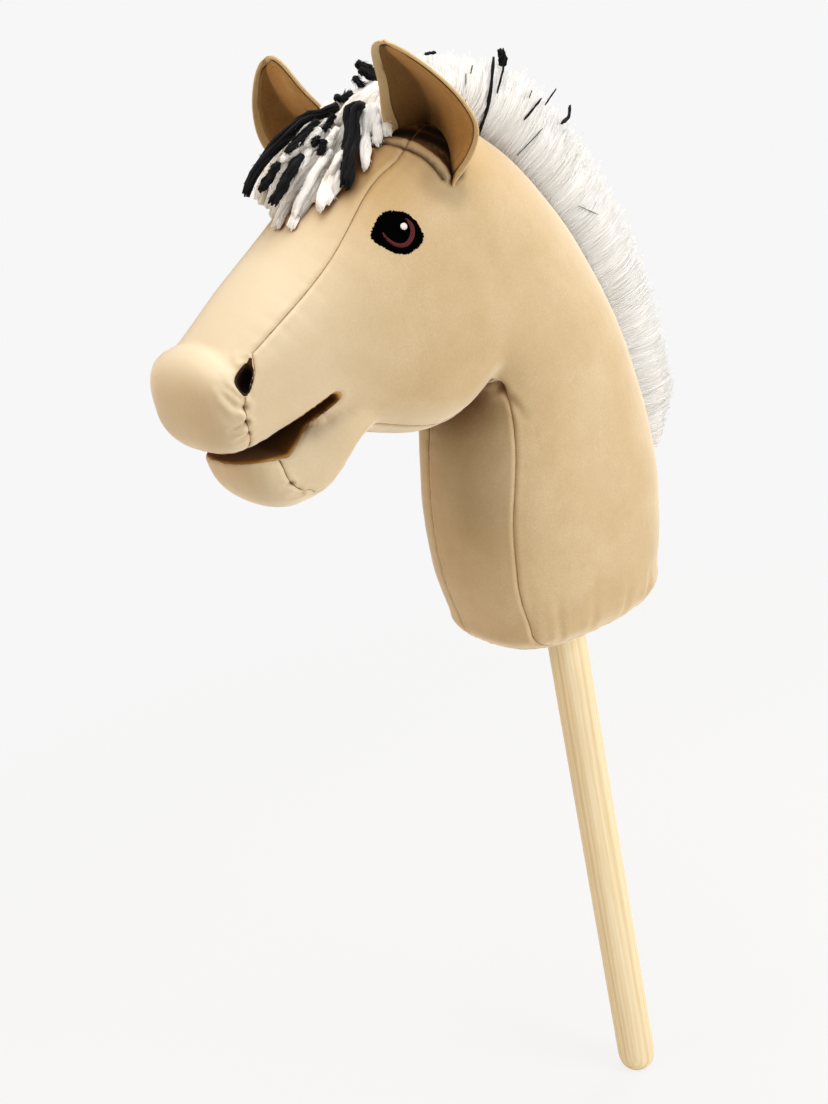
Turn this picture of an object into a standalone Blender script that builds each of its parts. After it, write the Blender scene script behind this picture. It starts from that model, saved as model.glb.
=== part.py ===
"""Hobby horse: a stuffed head and neck sewn from velour panels, pushed onto a round wooden stick.

Metres, +Z up the stick, origin at the centre of the stick's foot. The horse looks along -Y and its
left side is +X. Outline points are (forward, height) in millimetres, with height above the neck's hem.
"""

import math

import bmesh
import bpy
import numpy as np
from mathutils import Matrix, Vector
from mathutils.bvhtree import BVHTree

MM = 0.001

# Stick
STICK_DIAMETER = 0.024
STICK_FOOT_FLAT_RADIUS = 0.006
STICK_FOOT_ROUND_HEIGHT = 0.011
STICK_TOP_CHAMFER = 0.001
NECK_HEM_HEIGHT = 0.328
SLEEVE_DEPTH = 0.158
SLEEVE_WALL = 0.0014
SLEEVE_CLEARANCE = 0.0003
ROUND_SEGMENTS = 32

# Fabric and seams
FABRIC = 0.0018
SEAM_GAP = 0.0003
FIT_GAP = 0.0003
STUFFING_GAP = 0.0003
DEGENERATE_EDGE = 0.000002
BEYOND_SIDES = 0.2

# Sections of the head and neck from the nostrils back over the poll and down to the hem:
# top forward, top height, bottom forward, bottom height, half width, roundness above, roundness below
HEAD_SECTIONS = [
    (196, 228, 193, 172, 41, 2.6, 2.6),
    (174, 245, 168, 174, 44, 2.5, 2.5),
    (147, 264, 140, 167, 48, 2.4, 2.5),
    (120, 283, 112, 156, 53, 2.35, 2.6),
    (98, 299, 88, 149, 57, 2.3, 2.8),
    (72, 312, 70, 152, 59, 2.3, 3.2),
    (44, 313, 58, 161, 59, 2.2, 3.6),
    (17, 299, 52, 166, 58, 2.15, 3.8),
    (-9, 273, 49, 162, 57, 2.1, 3.8),
    (-32, 239, 50, 152, 56, 2.1, 3.7),
    (-50, 203, 56, 134, 56, 2.15, 3.5),
    (-62, 164, 62, 110, 57, 2.25, 3.3),
    (-68, 122, 67, 84, 58, 2.4, 3.1),
    (-70, 82, 69, 60, 57, 2.5, 2.9),
    (-66, 49, 69, 44, 55.5, 2.5, 2.8),
    (-61, 25, 65, 23, 53, 2.5, 2.8),
]
NOSE_LENGTH = 0.0225
NOSE_DIRECTION = (0.999, -0.03)
NOSE_BLUNTNESS = 2.6
HEM_DROP = 0.025
HEM_BLUNTNESS = 2.6
HEM_LAST_RING = 0.32
HEAD_ROWS_PER_SECTION = 2

# Sections of the lower jaw from under the cheek to the chin, as above
JAW_SECTIONS = [
    (116, 195, 110, 163, 36, 2.2, 2.2),
    (141, 190, 130, 157, 41, 2.4, 2.4),
    (162, 182, 151, 137, 37, 2.4, 2.4),
    (181, 176, 169, 133.5, 33, 2.4, 2.4),
]
CHIN_LENGTH = 0.024
CHIN_DIRECTION = (0.99, 0.15)
CHIN_BLUNTNESS = 2.3
JAW_BACK = (113, 130)
JAW_ROWS_PER_SECTION = 2

RING_POINTS = 22
CAP_RINGS = 4
CAP_LAST_RING = 0.16

# Mouth: a wedge cut right across, round at its corner and open at the lips
MOUTH_CORNER = (147, 190)
MOUTH_CORNER_RADIUS = 0.0022
MOUTH_UPPER_SLOPE = -26.0
MOUTH_UPPER_LIP = 0.041
MOUTH_UPPER_LIP_SLOPE = 0.0
MOUTH_LOWER_SLOPE = -37.0
MOUTH_LOWER_LIP = 0.036
MOUTH_LOWER_LIP_SLOPE = 4.0
MOUTH_REACH = 0.075

# Nostril: a lens-shaped pocket on the seam of the muzzle
NOSTRIL_TOP = (0.0372, 185.5, 224)
NOSTRIL_BOTTOM = (0.0405, 195.5, 203.5)
NOSTRIL_WIDTH = 0.0062
NOSTRIL_DEPTH = 0.0085
NOSTRIL_SEGMENTS = 10
NOSTRIL_OUTWARD = (0.80, 0.52, 0.30)

# Seams, each a run of stations: half width, middle, inner point, outer point
SEAM_ALLOWANCE = 0.0005
FOREHEAD_SEAM = [
    (7, 0, (6, 282), (6, 360)),
    (22, 0, (40, 280), (44, 360)),
    (36, 0, (74, 276), (80, 350)),
    (35.5, 0, (90, 262), (112, 330)),
    (39.5, 0, (124, 240), (156, 310)),
    (38.8, 0, (156, 218), (196, 280)),
    (36.8, 0, (172, 204), (228, 262)),
    (35, 0, (178, 196), (240, 220)),
]
THROAT_SEAM = [
    (34, 10, (15, 158), (60, 158)),
    (35, 11, (12, 150), (63, 150)),
    (35, 12, (10, 140), (92, 140)),
    (35, 12, (10, 120), (110, 120)),
    (32, 12, (10, 80), (110, 80)),
    (28, 13, (10, 40), (110, 40)),
    (22, 16, (10, -20), (110, -20)),
]
CHIN_SEAM = [
    (28, 0, (168, 160), (166, 100)),
    (29, 0, (140, 168), (134, 110)),
    (30, 0, (126, 172), (120, 110)),
    (33, 0, (90, 168), (86, 118)),
    (35, 0, (67, 172), (66.5, 140)),
]

# Rear edges of the gussets on the sides of the muzzle and of the lower jaw, from top to bottom
NOSE_SEAM = [(183, 232), (188, 214), (195.5, 204), (197, 192), (195, 182), (191, 168)]
LIP_SEAM = [(180, 170), (179, 162), (178.5, 157), (176.5, 152), (171.5, 146.5), (162, 140.5), (146, 110)]
BASE_SEAM_HEIGHT = 0.007

# Plane between the lumps of filling in head and neck
NECK_SPLIT_POINT = (49, 160)
NECK_SPLIT_SIDE = (-0.62, -0.78)

# Eye, in its own plane on the side of the head
EYE_CENTRE = (96, 263)
EYE_HALF_LENGTH = 0.0140
EYE_HALF_HEIGHT = 0.0110
EYE_TILT = 15.0
EYE_ROUNDNESS = 2.3
EYE_THREAD = 0.0009
EYE_GAP = 0.0007
IRIS_OUTER = 0.66
IRIS_INNER = 0.50
IRIS_START = 125.0
IRIS_END = 325.0
IRIS_END_SHARE = 0.12
GLINT_RADIUS = 0.0023
GLINT_PLACE = (-0.0034, 0.0026)

# Ear: a leaf folded to a cup. Places are half width, forward and height, as for the left ear
EAR_CUP = 0.022
EAR_FABRIC = 0.0016
EAR_RIM = 0.0016
EAR_LINING_GAP = 0.0008
EAR_ROOT = 0.010
EAR_CURL_HEIGHT = 0.35
EAR_WIDEST_AT = 0.40
EAR_NARROWING = 1.5
EAR_FLATTENING = 1.4
EAR_FOLD = 1.7
EAR_CURL = 0.003
EAR_TIP_BLUNTNESS = 0.0016
EAR_ROWS = 9
EAR_COLUMNS = 9
EARS = {
    "left": {
        "base": (0.0375, 67, 293),
        "tip": (0.0505, 85, 352.5),
        "root_half": (0.0145, -8, -14),
        "half_width": 0.030,
        "facing": 24.0,
        "droop": 0.25,
        "bow": (0.007, -8, 0),
    },
    "right": {
        "base": (0.0375, 72, 293),
        "tip": (0.051, 95, 352),
        "root_half": (0.0145, -6, -12),
        "half_width": 0.032,
        "facing": -14.0,
        "droop": 0.10,
        "bow": (0.011, 6, 0),
    },
}

# Mane: yarn knotted on a tape along the crest
MANE_TAPE_WIDTH = 0.014
MANE_TAPE = 0.0012
MANE_LENGTH = 0.049
MANE_SPREAD = 0.028
MANE_WIDEST_AT = 0.45
MANE_SHOULDER = 0.017
MANE_SHOULDER_AT = 0.85
MANE_TIP = 0.0055
MANE_START = 0.349
MANE_END = 0.88
MANE_ROWS = 28
CREST_STEPS = 12
CREST_SPAN = 0.01
MANE_LOCK_STEP = 0.0030
MANE_POLL_SHARE = 0.55
MANE_NECK_SHARE = 0.82
BLACK_LOCK_WIDTH = 0.0042
BLACK_LOCK_PLACES = (0.177, 0.275, 0.315)
BLACK_LOCK_RISE = 0.0035

# Forelock: tufts of yarn that fall forward from the poll
FORELOCK_ROOT = (60, 316)
FORELOCK_ROOT_HALF_WIDTH = 0.013
TUFT_RADIUS = 0.0046
TUFT_SIDES = 6
TUFT_RINGS = 7
TUFT_END_SHARE = 0.72
TUFT_TIP_SHARE = 0.55

# Tufts of the forelock in millimetres: root x, tip x, tip (forward, height), rise of the arc
WHITE_TUFTS = [
    (-7, -30, (112, 286), 12),
    (-5, -24, (124, 280), 14),
    (-5, -18, (130, 279), 14),
    (-1, -8, (133, 278), 14),
    (2, 3, (131, 279), 14),
    (5, 12, (124, 284), 14),
    (8, 21, (110, 291), 13),
    (10, 18, (95, 300), 12),
]
BLACK_TUFTS = [
    (-7, -31, (127, 290), 13),
    (-4, -20, (139, 288), 14),
    (3, -3, (138, 289), 14),
    (10, 15, (118, 298), 13),
]

VELOUR_TAN = "#d3b282"
EAR_LINING_TAN = "#96703f"
MOUTH_TAN = "#8b6238"
YARN_WHITE = "#efedea"
YARN_BLACK = "#17161a"
PINE = "#e3c79b"
THREAD_BLACK = "#0d0b0c"
THREAD_RED = "#7a3a3c"
THREAD_WHITE = "#f4f1ee"
STUFFING_WHITE = "#f2f0ea"
SLEEVE_PLASTIC = "#d8d6d0"


def clear_scene():
    for thing in list(bpy.data.objects):
        bpy.data.objects.remove(thing, do_unlink=True)


def linear(hex_colour):
    """Blender's linear colour of an sRGB hex value."""
    parts = [int(hex_colour[i : i + 2], 16) / 255 for i in (1, 3, 5)]
    return [c / 12.92 if c <= 0.04045 else ((c + 0.055) / 1.055) ** 2.4 for c in parts] + [1.0]


def material(name, hex_colour, roughness, metallic=0.0):
    made = bpy.data.materials.new(name)
    made.use_nodes = True
    shader = made.node_tree.nodes["Principled BSDF"]
    shader.inputs["Base Color"].default_value = linear(hex_colour)
    shader.inputs["Roughness"].default_value = roughness
    shader.inputs["Metallic"].default_value = metallic
    made.diffuse_color = linear(hex_colour)
    return made


def add_object(name, points, faces):
    mesh = bpy.data.meshes.new(name)
    mesh.from_pydata([tuple(p) for p in points], [], faces)
    mesh.update()
    thing = bpy.data.objects.new(name, mesh)
    bpy.context.scene.collection.objects.link(thing)
    return thing


def face_outwards(thing):
    built = bmesh.new()
    built.from_mesh(thing.data)
    bmesh.ops.recalc_face_normals(built, faces=built.faces)
    if built.calc_volume(signed=True) < 0:
        bmesh.ops.reverse_faces(built, faces=built.faces)
    built.to_mesh(thing.data)
    built.free()
    return thing


def finish(thing, name, surface, sharp=40.0):
    """Names the piece and gives it its material and its shading."""
    thing.name = name
    thing.data.name = name
    thing.data.materials.clear()
    thing.data.materials.append(surface)
    thing.data.shade_smooth()
    thing.data.set_sharp_from_angle(angle=math.radians(sharp))
    return thing


def copy_of(thing, name):
    twin = bpy.data.objects.new(name, thing.data.copy())
    bpy.context.scene.collection.objects.link(twin)
    return twin


def combine(thing, tool, operation, keep_tool=False, solver="EXACT"):
    """One Boolean, worked into the mesh of thing."""
    step = thing.modifiers.new(operation.lower(), "BOOLEAN")
    step.operation = operation
    step.solver = solver
    step.object = tool
    graph = bpy.context.evaluated_depsgraph_get()
    built = bmesh.new()
    built.from_mesh(thing.evaluated_get(graph).to_mesh())
    thing.modifiers.remove(step)
    bmesh.ops.triangulate(built, faces=built.faces)
    bmesh.ops.dissolve_degenerate(built, dist=DEGENERATE_EDGE, edges=built.edges)
    bmesh.ops.triangulate(built, faces=built.faces)
    built.to_mesh(thing.data)
    built.free()
    if not keep_tool:
        bpy.data.objects.remove(tool, do_unlink=True)
    return thing


def hollowed(thing, core):
    """Makes a shell of thing by giving it the surface of core, which lies inside it, as its inner wall."""
    built = bmesh.new()
    built.from_mesh(core.data)
    bmesh.ops.reverse_faces(built, faces=built.faces)
    built.from_mesh(thing.data)
    built.to_mesh(thing.data)
    built.free()
    bpy.data.objects.remove(core, do_unlink=True)
    return thing


def mirrored(thing, name):
    """The piece of the other side."""
    twin = copy_of(thing, name)
    twin.data.transform(Matrix.Scale(-1, 4, Vector((1, 0, 0))))
    twin.data.flip_normals()
    return twin


def at(x, forward, height):
    """World point of an outline point; x is in metres."""
    return Vector((x, -forward * MM, NECK_HEM_HEIGHT + height * MM))


def smooth_rows(rows, steps):
    """Rows on a smooth curve through the given rows, with steps to each gap."""
    rows = np.array(rows, float)
    ends = np.vstack([2 * rows[0] - rows[1], rows, 2 * rows[-1] - rows[-2]])
    made = []
    for before, start, stop, after in zip(ends, ends[1:], ends[2:], ends[3:]):
        for step in range(steps):
            t = step / steps
            bend = 2 * before - 5 * start + 4 * stop - after
            twist = 3 * start - before - 3 * stop + after
            made.append(0.5 * (2 * start + (stop - before) * t + bend * t * t + twist * t**3))
    made.append(rows[-1])
    return made


def cap_rows(row, direction, length, blunt, last=CAP_LAST_RING):
    """Rows that round off the end of a form beyond its last section."""
    top, bottom, half_width, roundness = row[0:2], row[2:4], row[4], row[5:7]
    centre, half = (top + bottom) / 2, (top - bottom) / 2
    made = []
    for step in range(1, CAP_RINGS + 1):
        angle = step / CAP_RINGS * math.pi / 2
        size = max(math.cos(angle), 0.0) ** (2 / blunt)
        size = max(size, last)
        middle = centre + np.array(direction) * length / MM * math.sin(angle) ** (2 / blunt)
        made.append(np.hstack([middle + half * size, middle - half * size, half_width * size, roundness]))
    return made


def inset_rows(rows, inset):
    """The same rows drawn in by inset all round."""
    made = []
    for row in rows:
        top, bottom = row[0:2], row[2:4]
        along = (top - bottom) / np.linalg.norm(top - bottom)
        step = along * inset / MM
        made.append(np.hstack([top - step, bottom + step, row[4] - inset / MM, row[5:7]]))
    return made


def ring(row):
    top, bottom, half_width = row[0:2], row[2:4], row[4]
    centre, half = (top + bottom) / 2, (top - bottom) / 2
    points = []
    for step in range(RING_POINTS):
        angle = 2 * math.pi * step / RING_POINTS
        roundness = row[5] if math.cos(angle) > 0 else row[6]
        across = math.copysign(abs(math.sin(angle)) ** (2 / roundness), math.sin(angle))
        upward = math.copysign(abs(math.cos(angle)) ** (2 / roundness), math.cos(angle))
        forward, height = centre + half * upward
        points.append(at(half_width * MM * across, forward, height))
    return points


def loft(name, rings):
    """A closed body through rings of equal count, with a pole at each end."""
    count = len(rings[0])
    points = [p for points_of_ring in rings for p in points_of_ring]
    faces = []
    for row in range(len(rings) - 1):
        for i in range(count):
            j = (i + 1) % count
            low, high = row * count, (row + 1) * count
            # Quads are split alike on the left and the right.
            a, b, c, d = low + i, low + j, high + j, high + i
            faces += [(a, b, c), (a, c, d)] if i < count / 2 else [(a, b, d), (b, c, d)]
    for first, turn in ((0, 1), ((len(rings) - 1) * count, -1)):
        pole = sum((points[first + i] for i in range(count)), Vector()) / count
        points.append(pole)
        for i in range(count):
            fan = (first + i, len(points) - 1, first + (i + 1) % count)
            faces.append(fan[::turn])
    return face_outwards(add_object(name, points, faces))


def head_form(inset):
    rows = smooth_rows(HEAD_SECTIONS, HEAD_ROWS_PER_SECTION)
    inner = inset_rows(rows, inset)
    nose = cap_rows(inner[0], NOSE_DIRECTION, NOSE_LENGTH - inset, NOSE_BLUNTNESS)
    hem = cap_rows(inner[-1], (0.0, -1.0), HEM_DROP - inset, HEM_BLUNTNESS, HEM_LAST_RING)
    return loft("head_form", [ring(row) for row in nose[::-1] + inner + hem])


def jaw_form(inset):
    rows = smooth_rows(JAW_SECTIONS, JAW_ROWS_PER_SECTION)
    inner = inset_rows(rows, inset)
    chin = cap_rows(inner[-1], CHIN_DIRECTION, CHIN_LENGTH - inset, CHIN_BLUNTNESS)
    return loft("jaw_form", [ring(row) for row in inner + chin])


def prism(name, outline, half_span):
    """An outline in (forward, height) pushed through from side to side."""
    points = [at(-half_span, *p) for p in outline] + [at(half_span, *p) for p in outline]
    count = len(outline)
    faces = [tuple(range(count)), tuple(range(2 * count - 1, count - 1, -1))]
    for i in range(count):
        j = (i + 1) % count
        faces.append((i, count + i, count + j, j))
    return face_outwards(add_object(name, points, faces))


def seam_cutter(name, stations, grow):
    """A bar that follows a panel; a station is half width, middle, inner point and outer point."""
    rows = []
    count = len(stations)
    for index, (half_width, middle_x, inner, outer) in enumerate(stations):
        inner, outer = np.array(inner, float), np.array(outer, float)
        if index in (0, count - 1):
            other = 1 if index == 0 else count - 2
            middle = (inner + outer) / 2
            across = (outer - inner) / np.linalg.norm(outer - inner)
            away = np.array([-across[1], across[0]])
            neighbour = (np.array(stations[other][2]) + np.array(stations[other][3])) / 2
            away = away * (-1 if np.dot(away, neighbour - middle) > 0 else 1)
            inner, outer = inner + away * grow / MM, outer + away * grow / MM
        low, high = (middle_x - half_width) * MM - grow, (middle_x + half_width) * MM + grow
        rows.append([at(low, *inner), at(high, *inner), at(high, *outer), at(low, *outer)])
    points = [p for row in rows for p in row]
    faces = [(0, 1, 2, 3), tuple(range(len(points) - 1, len(points) - 5, -1))]
    for row in range(count - 1):
        low, high = row * 4, row * 4 + 4
        faces.append((low, low + 1, high + 1, high))
        faces.append((low + 3, low + 2, high + 2, high + 3))
        # The twisted sides are split alike, so that left and right panels end at like seams.
        for inner_corner, outer_corner in ((0, 3), (1, 2)):
            faces.append((low + inner_corner, low + outer_corner, high + outer_corner))
            faces.append((low + inner_corner, high + outer_corner, high + inner_corner))
    return face_outwards(add_object(name, points, faces))


def front_cutter(name, rear_edge, grow):
    """All ahead of a panel's rear edge, which is drawn from top to bottom on the side of the head."""
    edge = np.array(rear_edge, float)
    run = np.gradient(edge, axis=0)
    run = run / np.linalg.norm(run, axis=1)[:, None]
    edge = edge + np.column_stack([run[:, 1], -run[:, 0]]) * grow / MM
    ahead = BEYOND_SIDES / MM
    corners = [(edge[-1][0] + ahead, edge[-1][1]), (edge[0][0] + ahead, edge[0][1])]
    return prism(name, [tuple(p) for p in edge] + corners, BEYOND_SIDES)


def gusset_cutter(name, stations, rear_edge, grow):
    """A gusset's bar, widened to the whole front of the muzzle or jaw where it has a rear edge there."""
    bar = seam_cutter(name, stations, grow)
    if rear_edge is None:
        return bar
    return combine(bar, front_cutter(name + "_front", rear_edge, grow), "UNION")


def mouth_outline(grow):
    """The mouth from the side: an arc round its corner, then an upper and a lower lip that each bend once."""
    corner = np.array(MOUTH_CORNER, float)
    radius = (MOUTH_CORNER_RADIUS + grow) / MM
    upper, lower = math.radians(MOUTH_UPPER_SLOPE), math.radians(MOUTH_LOWER_SLOPE)
    start, stop = upper + math.pi / 2, lower + 3 * math.pi / 2
    arc = []
    for step in range(9):
        angle = start + (stop - start) * step / 8
        arc.append(tuple(corner + radius * np.array([math.cos(angle), math.sin(angle)])))

    def bent_lip(start, slope, length, lip_slope, side):
        lip = math.radians(lip_slope)
        to_bend = (length + side * grow * math.tan((lip - slope) / 2)) / MM
        beyond = (MOUTH_REACH - length) / MM
        bend = (start[0] + to_bend * math.cos(slope), start[1] + to_bend * math.sin(slope))
        return bend, (bend[0] + beyond * math.cos(lip), bend[1] + beyond * math.sin(lip))

    lower_bend, lower_end = bent_lip(arc[-1], lower, MOUTH_LOWER_LIP, MOUTH_LOWER_LIP_SLOPE, 1)
    upper_bend, upper_end = bent_lip(arc[0], upper, MOUTH_UPPER_LIP, MOUTH_UPPER_LIP_SLOPE, -1)
    return arc + [lower_bend, lower_end, upper_end, upper_bend]


def mouth_cutter(grow):
    return prism("mouth_cutter", mouth_outline(grow), BEYOND_SIDES)


def nostril_cutter(grow):
    """A lens that stands along the muzzle's seam, deepest at its middle."""
    built = bmesh.new()
    rows = NOSTRIL_SEGMENTS // 2
    bmesh.ops.create_uvsphere(built, u_segments=NOSTRIL_SEGMENTS, v_segments=rows, radius=1.0)
    mesh = bpy.data.meshes.new("nostril_cutter")
    top, bottom = at(*NOSTRIL_TOP), at(*NOSTRIL_BOTTOM)
    half_length = (top - bottom).length / 2
    size = Matrix.Diagonal((NOSTRIL_WIDTH / 2 + grow, NOSTRIL_DEPTH + grow, half_length + grow, 1.0))
    upright = (top - bottom).normalized()
    outward = Vector((NOSTRIL_OUTWARD[0], -NOSTRIL_OUTWARD[1], NOSTRIL_OUTWARD[2]))
    outward = (outward - upright * outward.dot(upright)).normalized()
    turn = Matrix((outward.cross(upright), outward, upright)).transposed().to_4x4()
    place = Matrix.Translation((top + bottom) / 2)
    built.transform(place @ turn @ size)
    built.to_mesh(mesh)
    built.free()
    thing = bpy.data.objects.new("nostril_cutter", mesh)
    bpy.context.scene.collection.objects.link(thing)
    return face_outwards(thing)


def both_nostrils(grow):
    left = nostril_cutter(grow)
    return left, mirrored(left, "nostril_cutter_right")


def turned(name, profile, segments=ROUND_SEGMENTS):
    """A turned body on the stick's axis from (radius, height) points, the first and last on the axis."""
    inner = profile[1:-1]
    points = []
    for radius, height in inner:
        for i in range(segments):
            angle = 2 * math.pi * i / segments
            points.append((radius * math.cos(angle), radius * math.sin(angle), height))
    first, last = len(points), len(points) + 1
    points += [(0, 0, profile[0][1]), (0, 0, profile[-1][1])]
    faces = []
    top = (len(inner) - 1) * segments
    for i in range(segments):
        j = (i + 1) % segments
        for row in range(len(inner) - 1):
            low, high = row * segments, (row + 1) * segments
            faces.append((low + i, low + j, high + j, high + i))
        faces.append((i, first, j))
        faces.append((top + i, top + j, last))
    return face_outwards(add_object(name, points, faces))


def stick_radius():
    return STICK_DIAMETER / 2


def sleeve_inner_radius():
    return stick_radius() + SLEEVE_CLEARANCE


def sleeve_outer_radius():
    return sleeve_inner_radius() + SLEEVE_WALL


def hem_inside_height():
    return NECK_HEM_HEIGHT + FABRIC


def sleeve_bottom():
    return hem_inside_height() + FIT_GAP


def sleeve_top():
    return NECK_HEM_HEIGHT + SLEEVE_DEPTH


def stick_top():
    return sleeve_top() - SLEEVE_WALL - SLEEVE_CLEARANCE


def bore_start():
    """Height at which a cutter for the stick's way in starts, clear below the hem."""
    return NECK_HEM_HEIGHT / 2


def make_stick(surface):
    radius = stick_radius()
    rise = radius - STICK_FOOT_FLAT_RADIUS
    profile = [(0, 0)]
    for step in range(6):
        angle = step / 5 * math.pi / 2
        profile.append((
            STICK_FOOT_FLAT_RADIUS + rise * math.sin(angle),
            STICK_FOOT_ROUND_HEIGHT * (1 - math.cos(angle)),
        ))
    profile.append((radius, stick_top() - STICK_TOP_CHAMFER))
    profile.append((radius - STICK_TOP_CHAMFER, stick_top()))
    profile.append((0, stick_top()))
    return finish(turned("stick", profile), "stick", surface)


def make_sleeve(surface):
    """A stiff tube with a closed top, which the stick pushes into."""
    inner, outer = sleeve_inner_radius(), sleeve_outer_radius()
    bore_top = sleeve_top() - SLEEVE_WALL
    profile = [(0, bore_top), (inner, bore_top), (inner, sleeve_bottom())]
    profile += [(outer, sleeve_bottom()), (outer, sleeve_top()), (0, sleeve_top())]
    return finish(turned("stick_sleeve", profile), "stick_sleeve", surface)


def cylinder(name, radius, low, high):
    return turned(name, [(0, low), (radius, low), (radius, high), (0, high)])


def half_space(name, point, direction, gap=0.0):
    """A large block that fills all on the far side of a plane across the side view."""
    size = 2 * BEYOND_SIDES / MM
    point, direction = np.array(point, float), np.array(direction, float)
    direction = direction / np.linalg.norm(direction)
    along = np.array([-direction[1], direction[0]])
    start = point + direction * gap / MM
    corners = [start - along * size, start + along * size]
    corners += [start + along * size + direction * size, start - along * size + direction * size]
    return prism(name, corners, BEYOND_SIDES)


def jaw_cutter(grow):
    """All below the middle of the open mouth and ahead of a plane from its corner to the back of the jaw."""
    corner, back = np.array(MOUTH_CORNER, float), np.array(JAW_BACK, float)
    along = (back - corner) / np.linalg.norm(back - corner)
    shift = np.array([along[1], -along[0]]) * grow / MM
    lower_bend, lower_end, upper_end, upper_bend = np.array(mouth_outline(0.0)[-4:])
    bend, ahead = (lower_bend + upper_bend) / 2, (lower_end + upper_end) / 2
    below = back + along * MOUTH_REACH / MM
    outline = [tuple(corner + shift), tuple(below + shift), (ahead[0], below[1]), tuple(ahead), tuple(bend)]
    return prism("jaw_split", outline, BEYOND_SIDES)


def stuffed_body(inset, grow):
    """Head and jaw in one, with the mouth and nostrils cut by grow more than their own size."""
    body = combine(head_form(inset), jaw_form(inset), "UNION")
    body = combine(body, mouth_cutter(grow), "DIFFERENCE")
    for lens in both_nostrils(grow):
        body = combine(body, lens, "DIFFERENCE")
    return body


def take(body, make_cutter, name, grow=SEAM_GAP):
    """Splits off the part of body inside the cutter; the rest is left a seam's gap away.

    The walls of the sewn skin lie so close together that only the MANIFOLD solver cuts them all.
    """
    piece = combine(copy_of(body, name), make_cutter(0.0), "INTERSECT", solver="MANIFOLD")
    combine(body, make_cutter(grow), "DIFFERENCE", solver="MANIFOLD")
    return piece


def make_panels(skin, surfaces):
    """Cuts the sewn skin into the pieces it was sewn from."""
    allowance = FABRIC + SEAM_ALLOWANCE
    lining = take(skin, lambda grow: mouth_cutter(allowance + grow), "mouth_lining")
    finish(lining, "mouth_lining", surfaces["mouth"])

    pocket = copy_of(skin, "left_nostril_lining")
    combine(pocket, nostril_cutter(allowance), "INTERSECT", solver="MANIFOLD")
    finish(pocket, "left_nostril_lining", surfaces["mouth"])
    finish(mirrored(pocket, "right_nostril_lining"), "right_nostril_lining", surfaces["mouth"])
    for lens in both_nostrils(allowance + SEAM_GAP):
        combine(skin, lens, "DIFFERENCE", solver="MANIFOLD")

    base_line = BASE_SEAM_HEIGHT / MM
    base = take(
        skin,
        lambda grow: half_space("base_cutter", (0, base_line), (0, -1), -grow),
        "base_panel",
    )
    hole = cylinder("base_hole", sleeve_inner_radius(), bore_start(), sleeve_top())
    combine(base, hole, "DIFFERENCE", solver="MANIFOLD")
    finish(base, "base_panel", surfaces["velour"])
    for name, stations, rear_edge in (
        ("forehead_gusset", FOREHEAD_SEAM, NOSE_SEAM),
        ("chin_gusset", CHIN_SEAM, LIP_SEAM),
        ("throat_gusset", THROAT_SEAM, None),
    ):
        piece = take(skin, lambda grow: gusset_cutter(name + "_cutter", stations, rear_edge, grow), name)
        finish(piece, name, surfaces["velour"])

    reach = 2 * BEYOND_SIDES
    for name, low_x, high_x in (
        ("right_side_panel", -reach, -SEAM_GAP / 2),
        ("left_side_panel", SEAM_GAP / 2, reach),
    ):
        half = box(name + "_half", (low_x, -reach, 0.0), (high_x, reach, 2 * reach))
        panel = combine(copy_of(skin, name), half, "INTERSECT", solver="MANIFOLD")
        finish(panel, name, surfaces["velour"])
    bpy.data.objects.remove(skin, do_unlink=True)


def box(name, low, high):
    points = [(x, y, z) for x in (low[0], high[0]) for y in (low[1], high[1]) for z in (low[2], high[2])]
    faces = [(0, 1, 3, 2), (4, 6, 7, 5), (0, 4, 5, 1), (2, 3, 7, 6), (0, 2, 6, 4), (1, 5, 7, 3)]
    return face_outwards(add_object(name, points, faces))


def make_stuffing(surface):
    """The filling, in three lumps: neck round the sleeve, head and lower jaw."""
    inset = FABRIC + STUFFING_GAP
    filling = stuffed_body(inset, inset)
    bore = cylinder("bore", sleeve_outer_radius() + FIT_GAP, bore_start(), sleeve_top() + FIT_GAP)
    combine(filling, bore, "DIFFERENCE")
    jaw = take(filling, jaw_cutter, "jaw_stuffing")
    finish(jaw, "jaw_stuffing", surface)
    neck = take(
        filling,
        lambda grow: half_space("neck_split", NECK_SPLIT_POINT, NECK_SPLIT_SIDE, -grow),
        "neck_stuffing",
    )
    finish(neck, "neck_stuffing", surface)
    finish(filling, "head_stuffing", surface)


def skin_patch(tree, frame, outline_rings, lift, thickness):
    """A closed patch over the skin: rings of points in the eye's plane, dropped onto the head."""
    centre, across, upward, outward = frame
    low, high = [], []
    for points in outline_rings:
        for u, v in points:
            start = centre + across * u + upward * v + outward * BEYOND_SIDES
            hit = tree.ray_cast(start, -outward)[0]
            low.append(hit + outward * lift)
            high.append(hit + outward * (lift + thickness))
    return low, high


def disc_patch(name, tree, frame, radii, centre_place, lift, thickness, rings=2, segments=20):
    """A domed disc with an outline of its own: radii(angle) gives its edge."""
    outlines = []
    for step in range(1, rings + 1):
        share = step / rings
        points = []
        for i in range(segments):
            angle = 2 * math.pi * i / segments
            u, v = radii(angle)
            points.append((centre_place[0] + u * share, centre_place[1] + v * share))
        outlines.append(points)
    low, high = skin_patch(tree, frame, [[centre_place]] + outlines, lift, thickness)
    count = len(low)
    faces = []
    for side in (0, count):
        for i in range(segments):
            j = (i + 1) % segments
            faces.append((side, side + 1 + i, side + 1 + j))
            for row in range(rings - 1):
                near, far = side + 1 + row * segments, side + 1 + (row + 1) * segments
                faces.append((near + i, far + i, far + j, near + j))
    edge = 1 + (rings - 1) * segments
    for i in range(segments):
        j = (i + 1) % segments
        faces.append((edge + i, edge + j, count + edge + j, count + edge + i))
    return face_outwards(add_object(name, low + high, faces))


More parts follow.
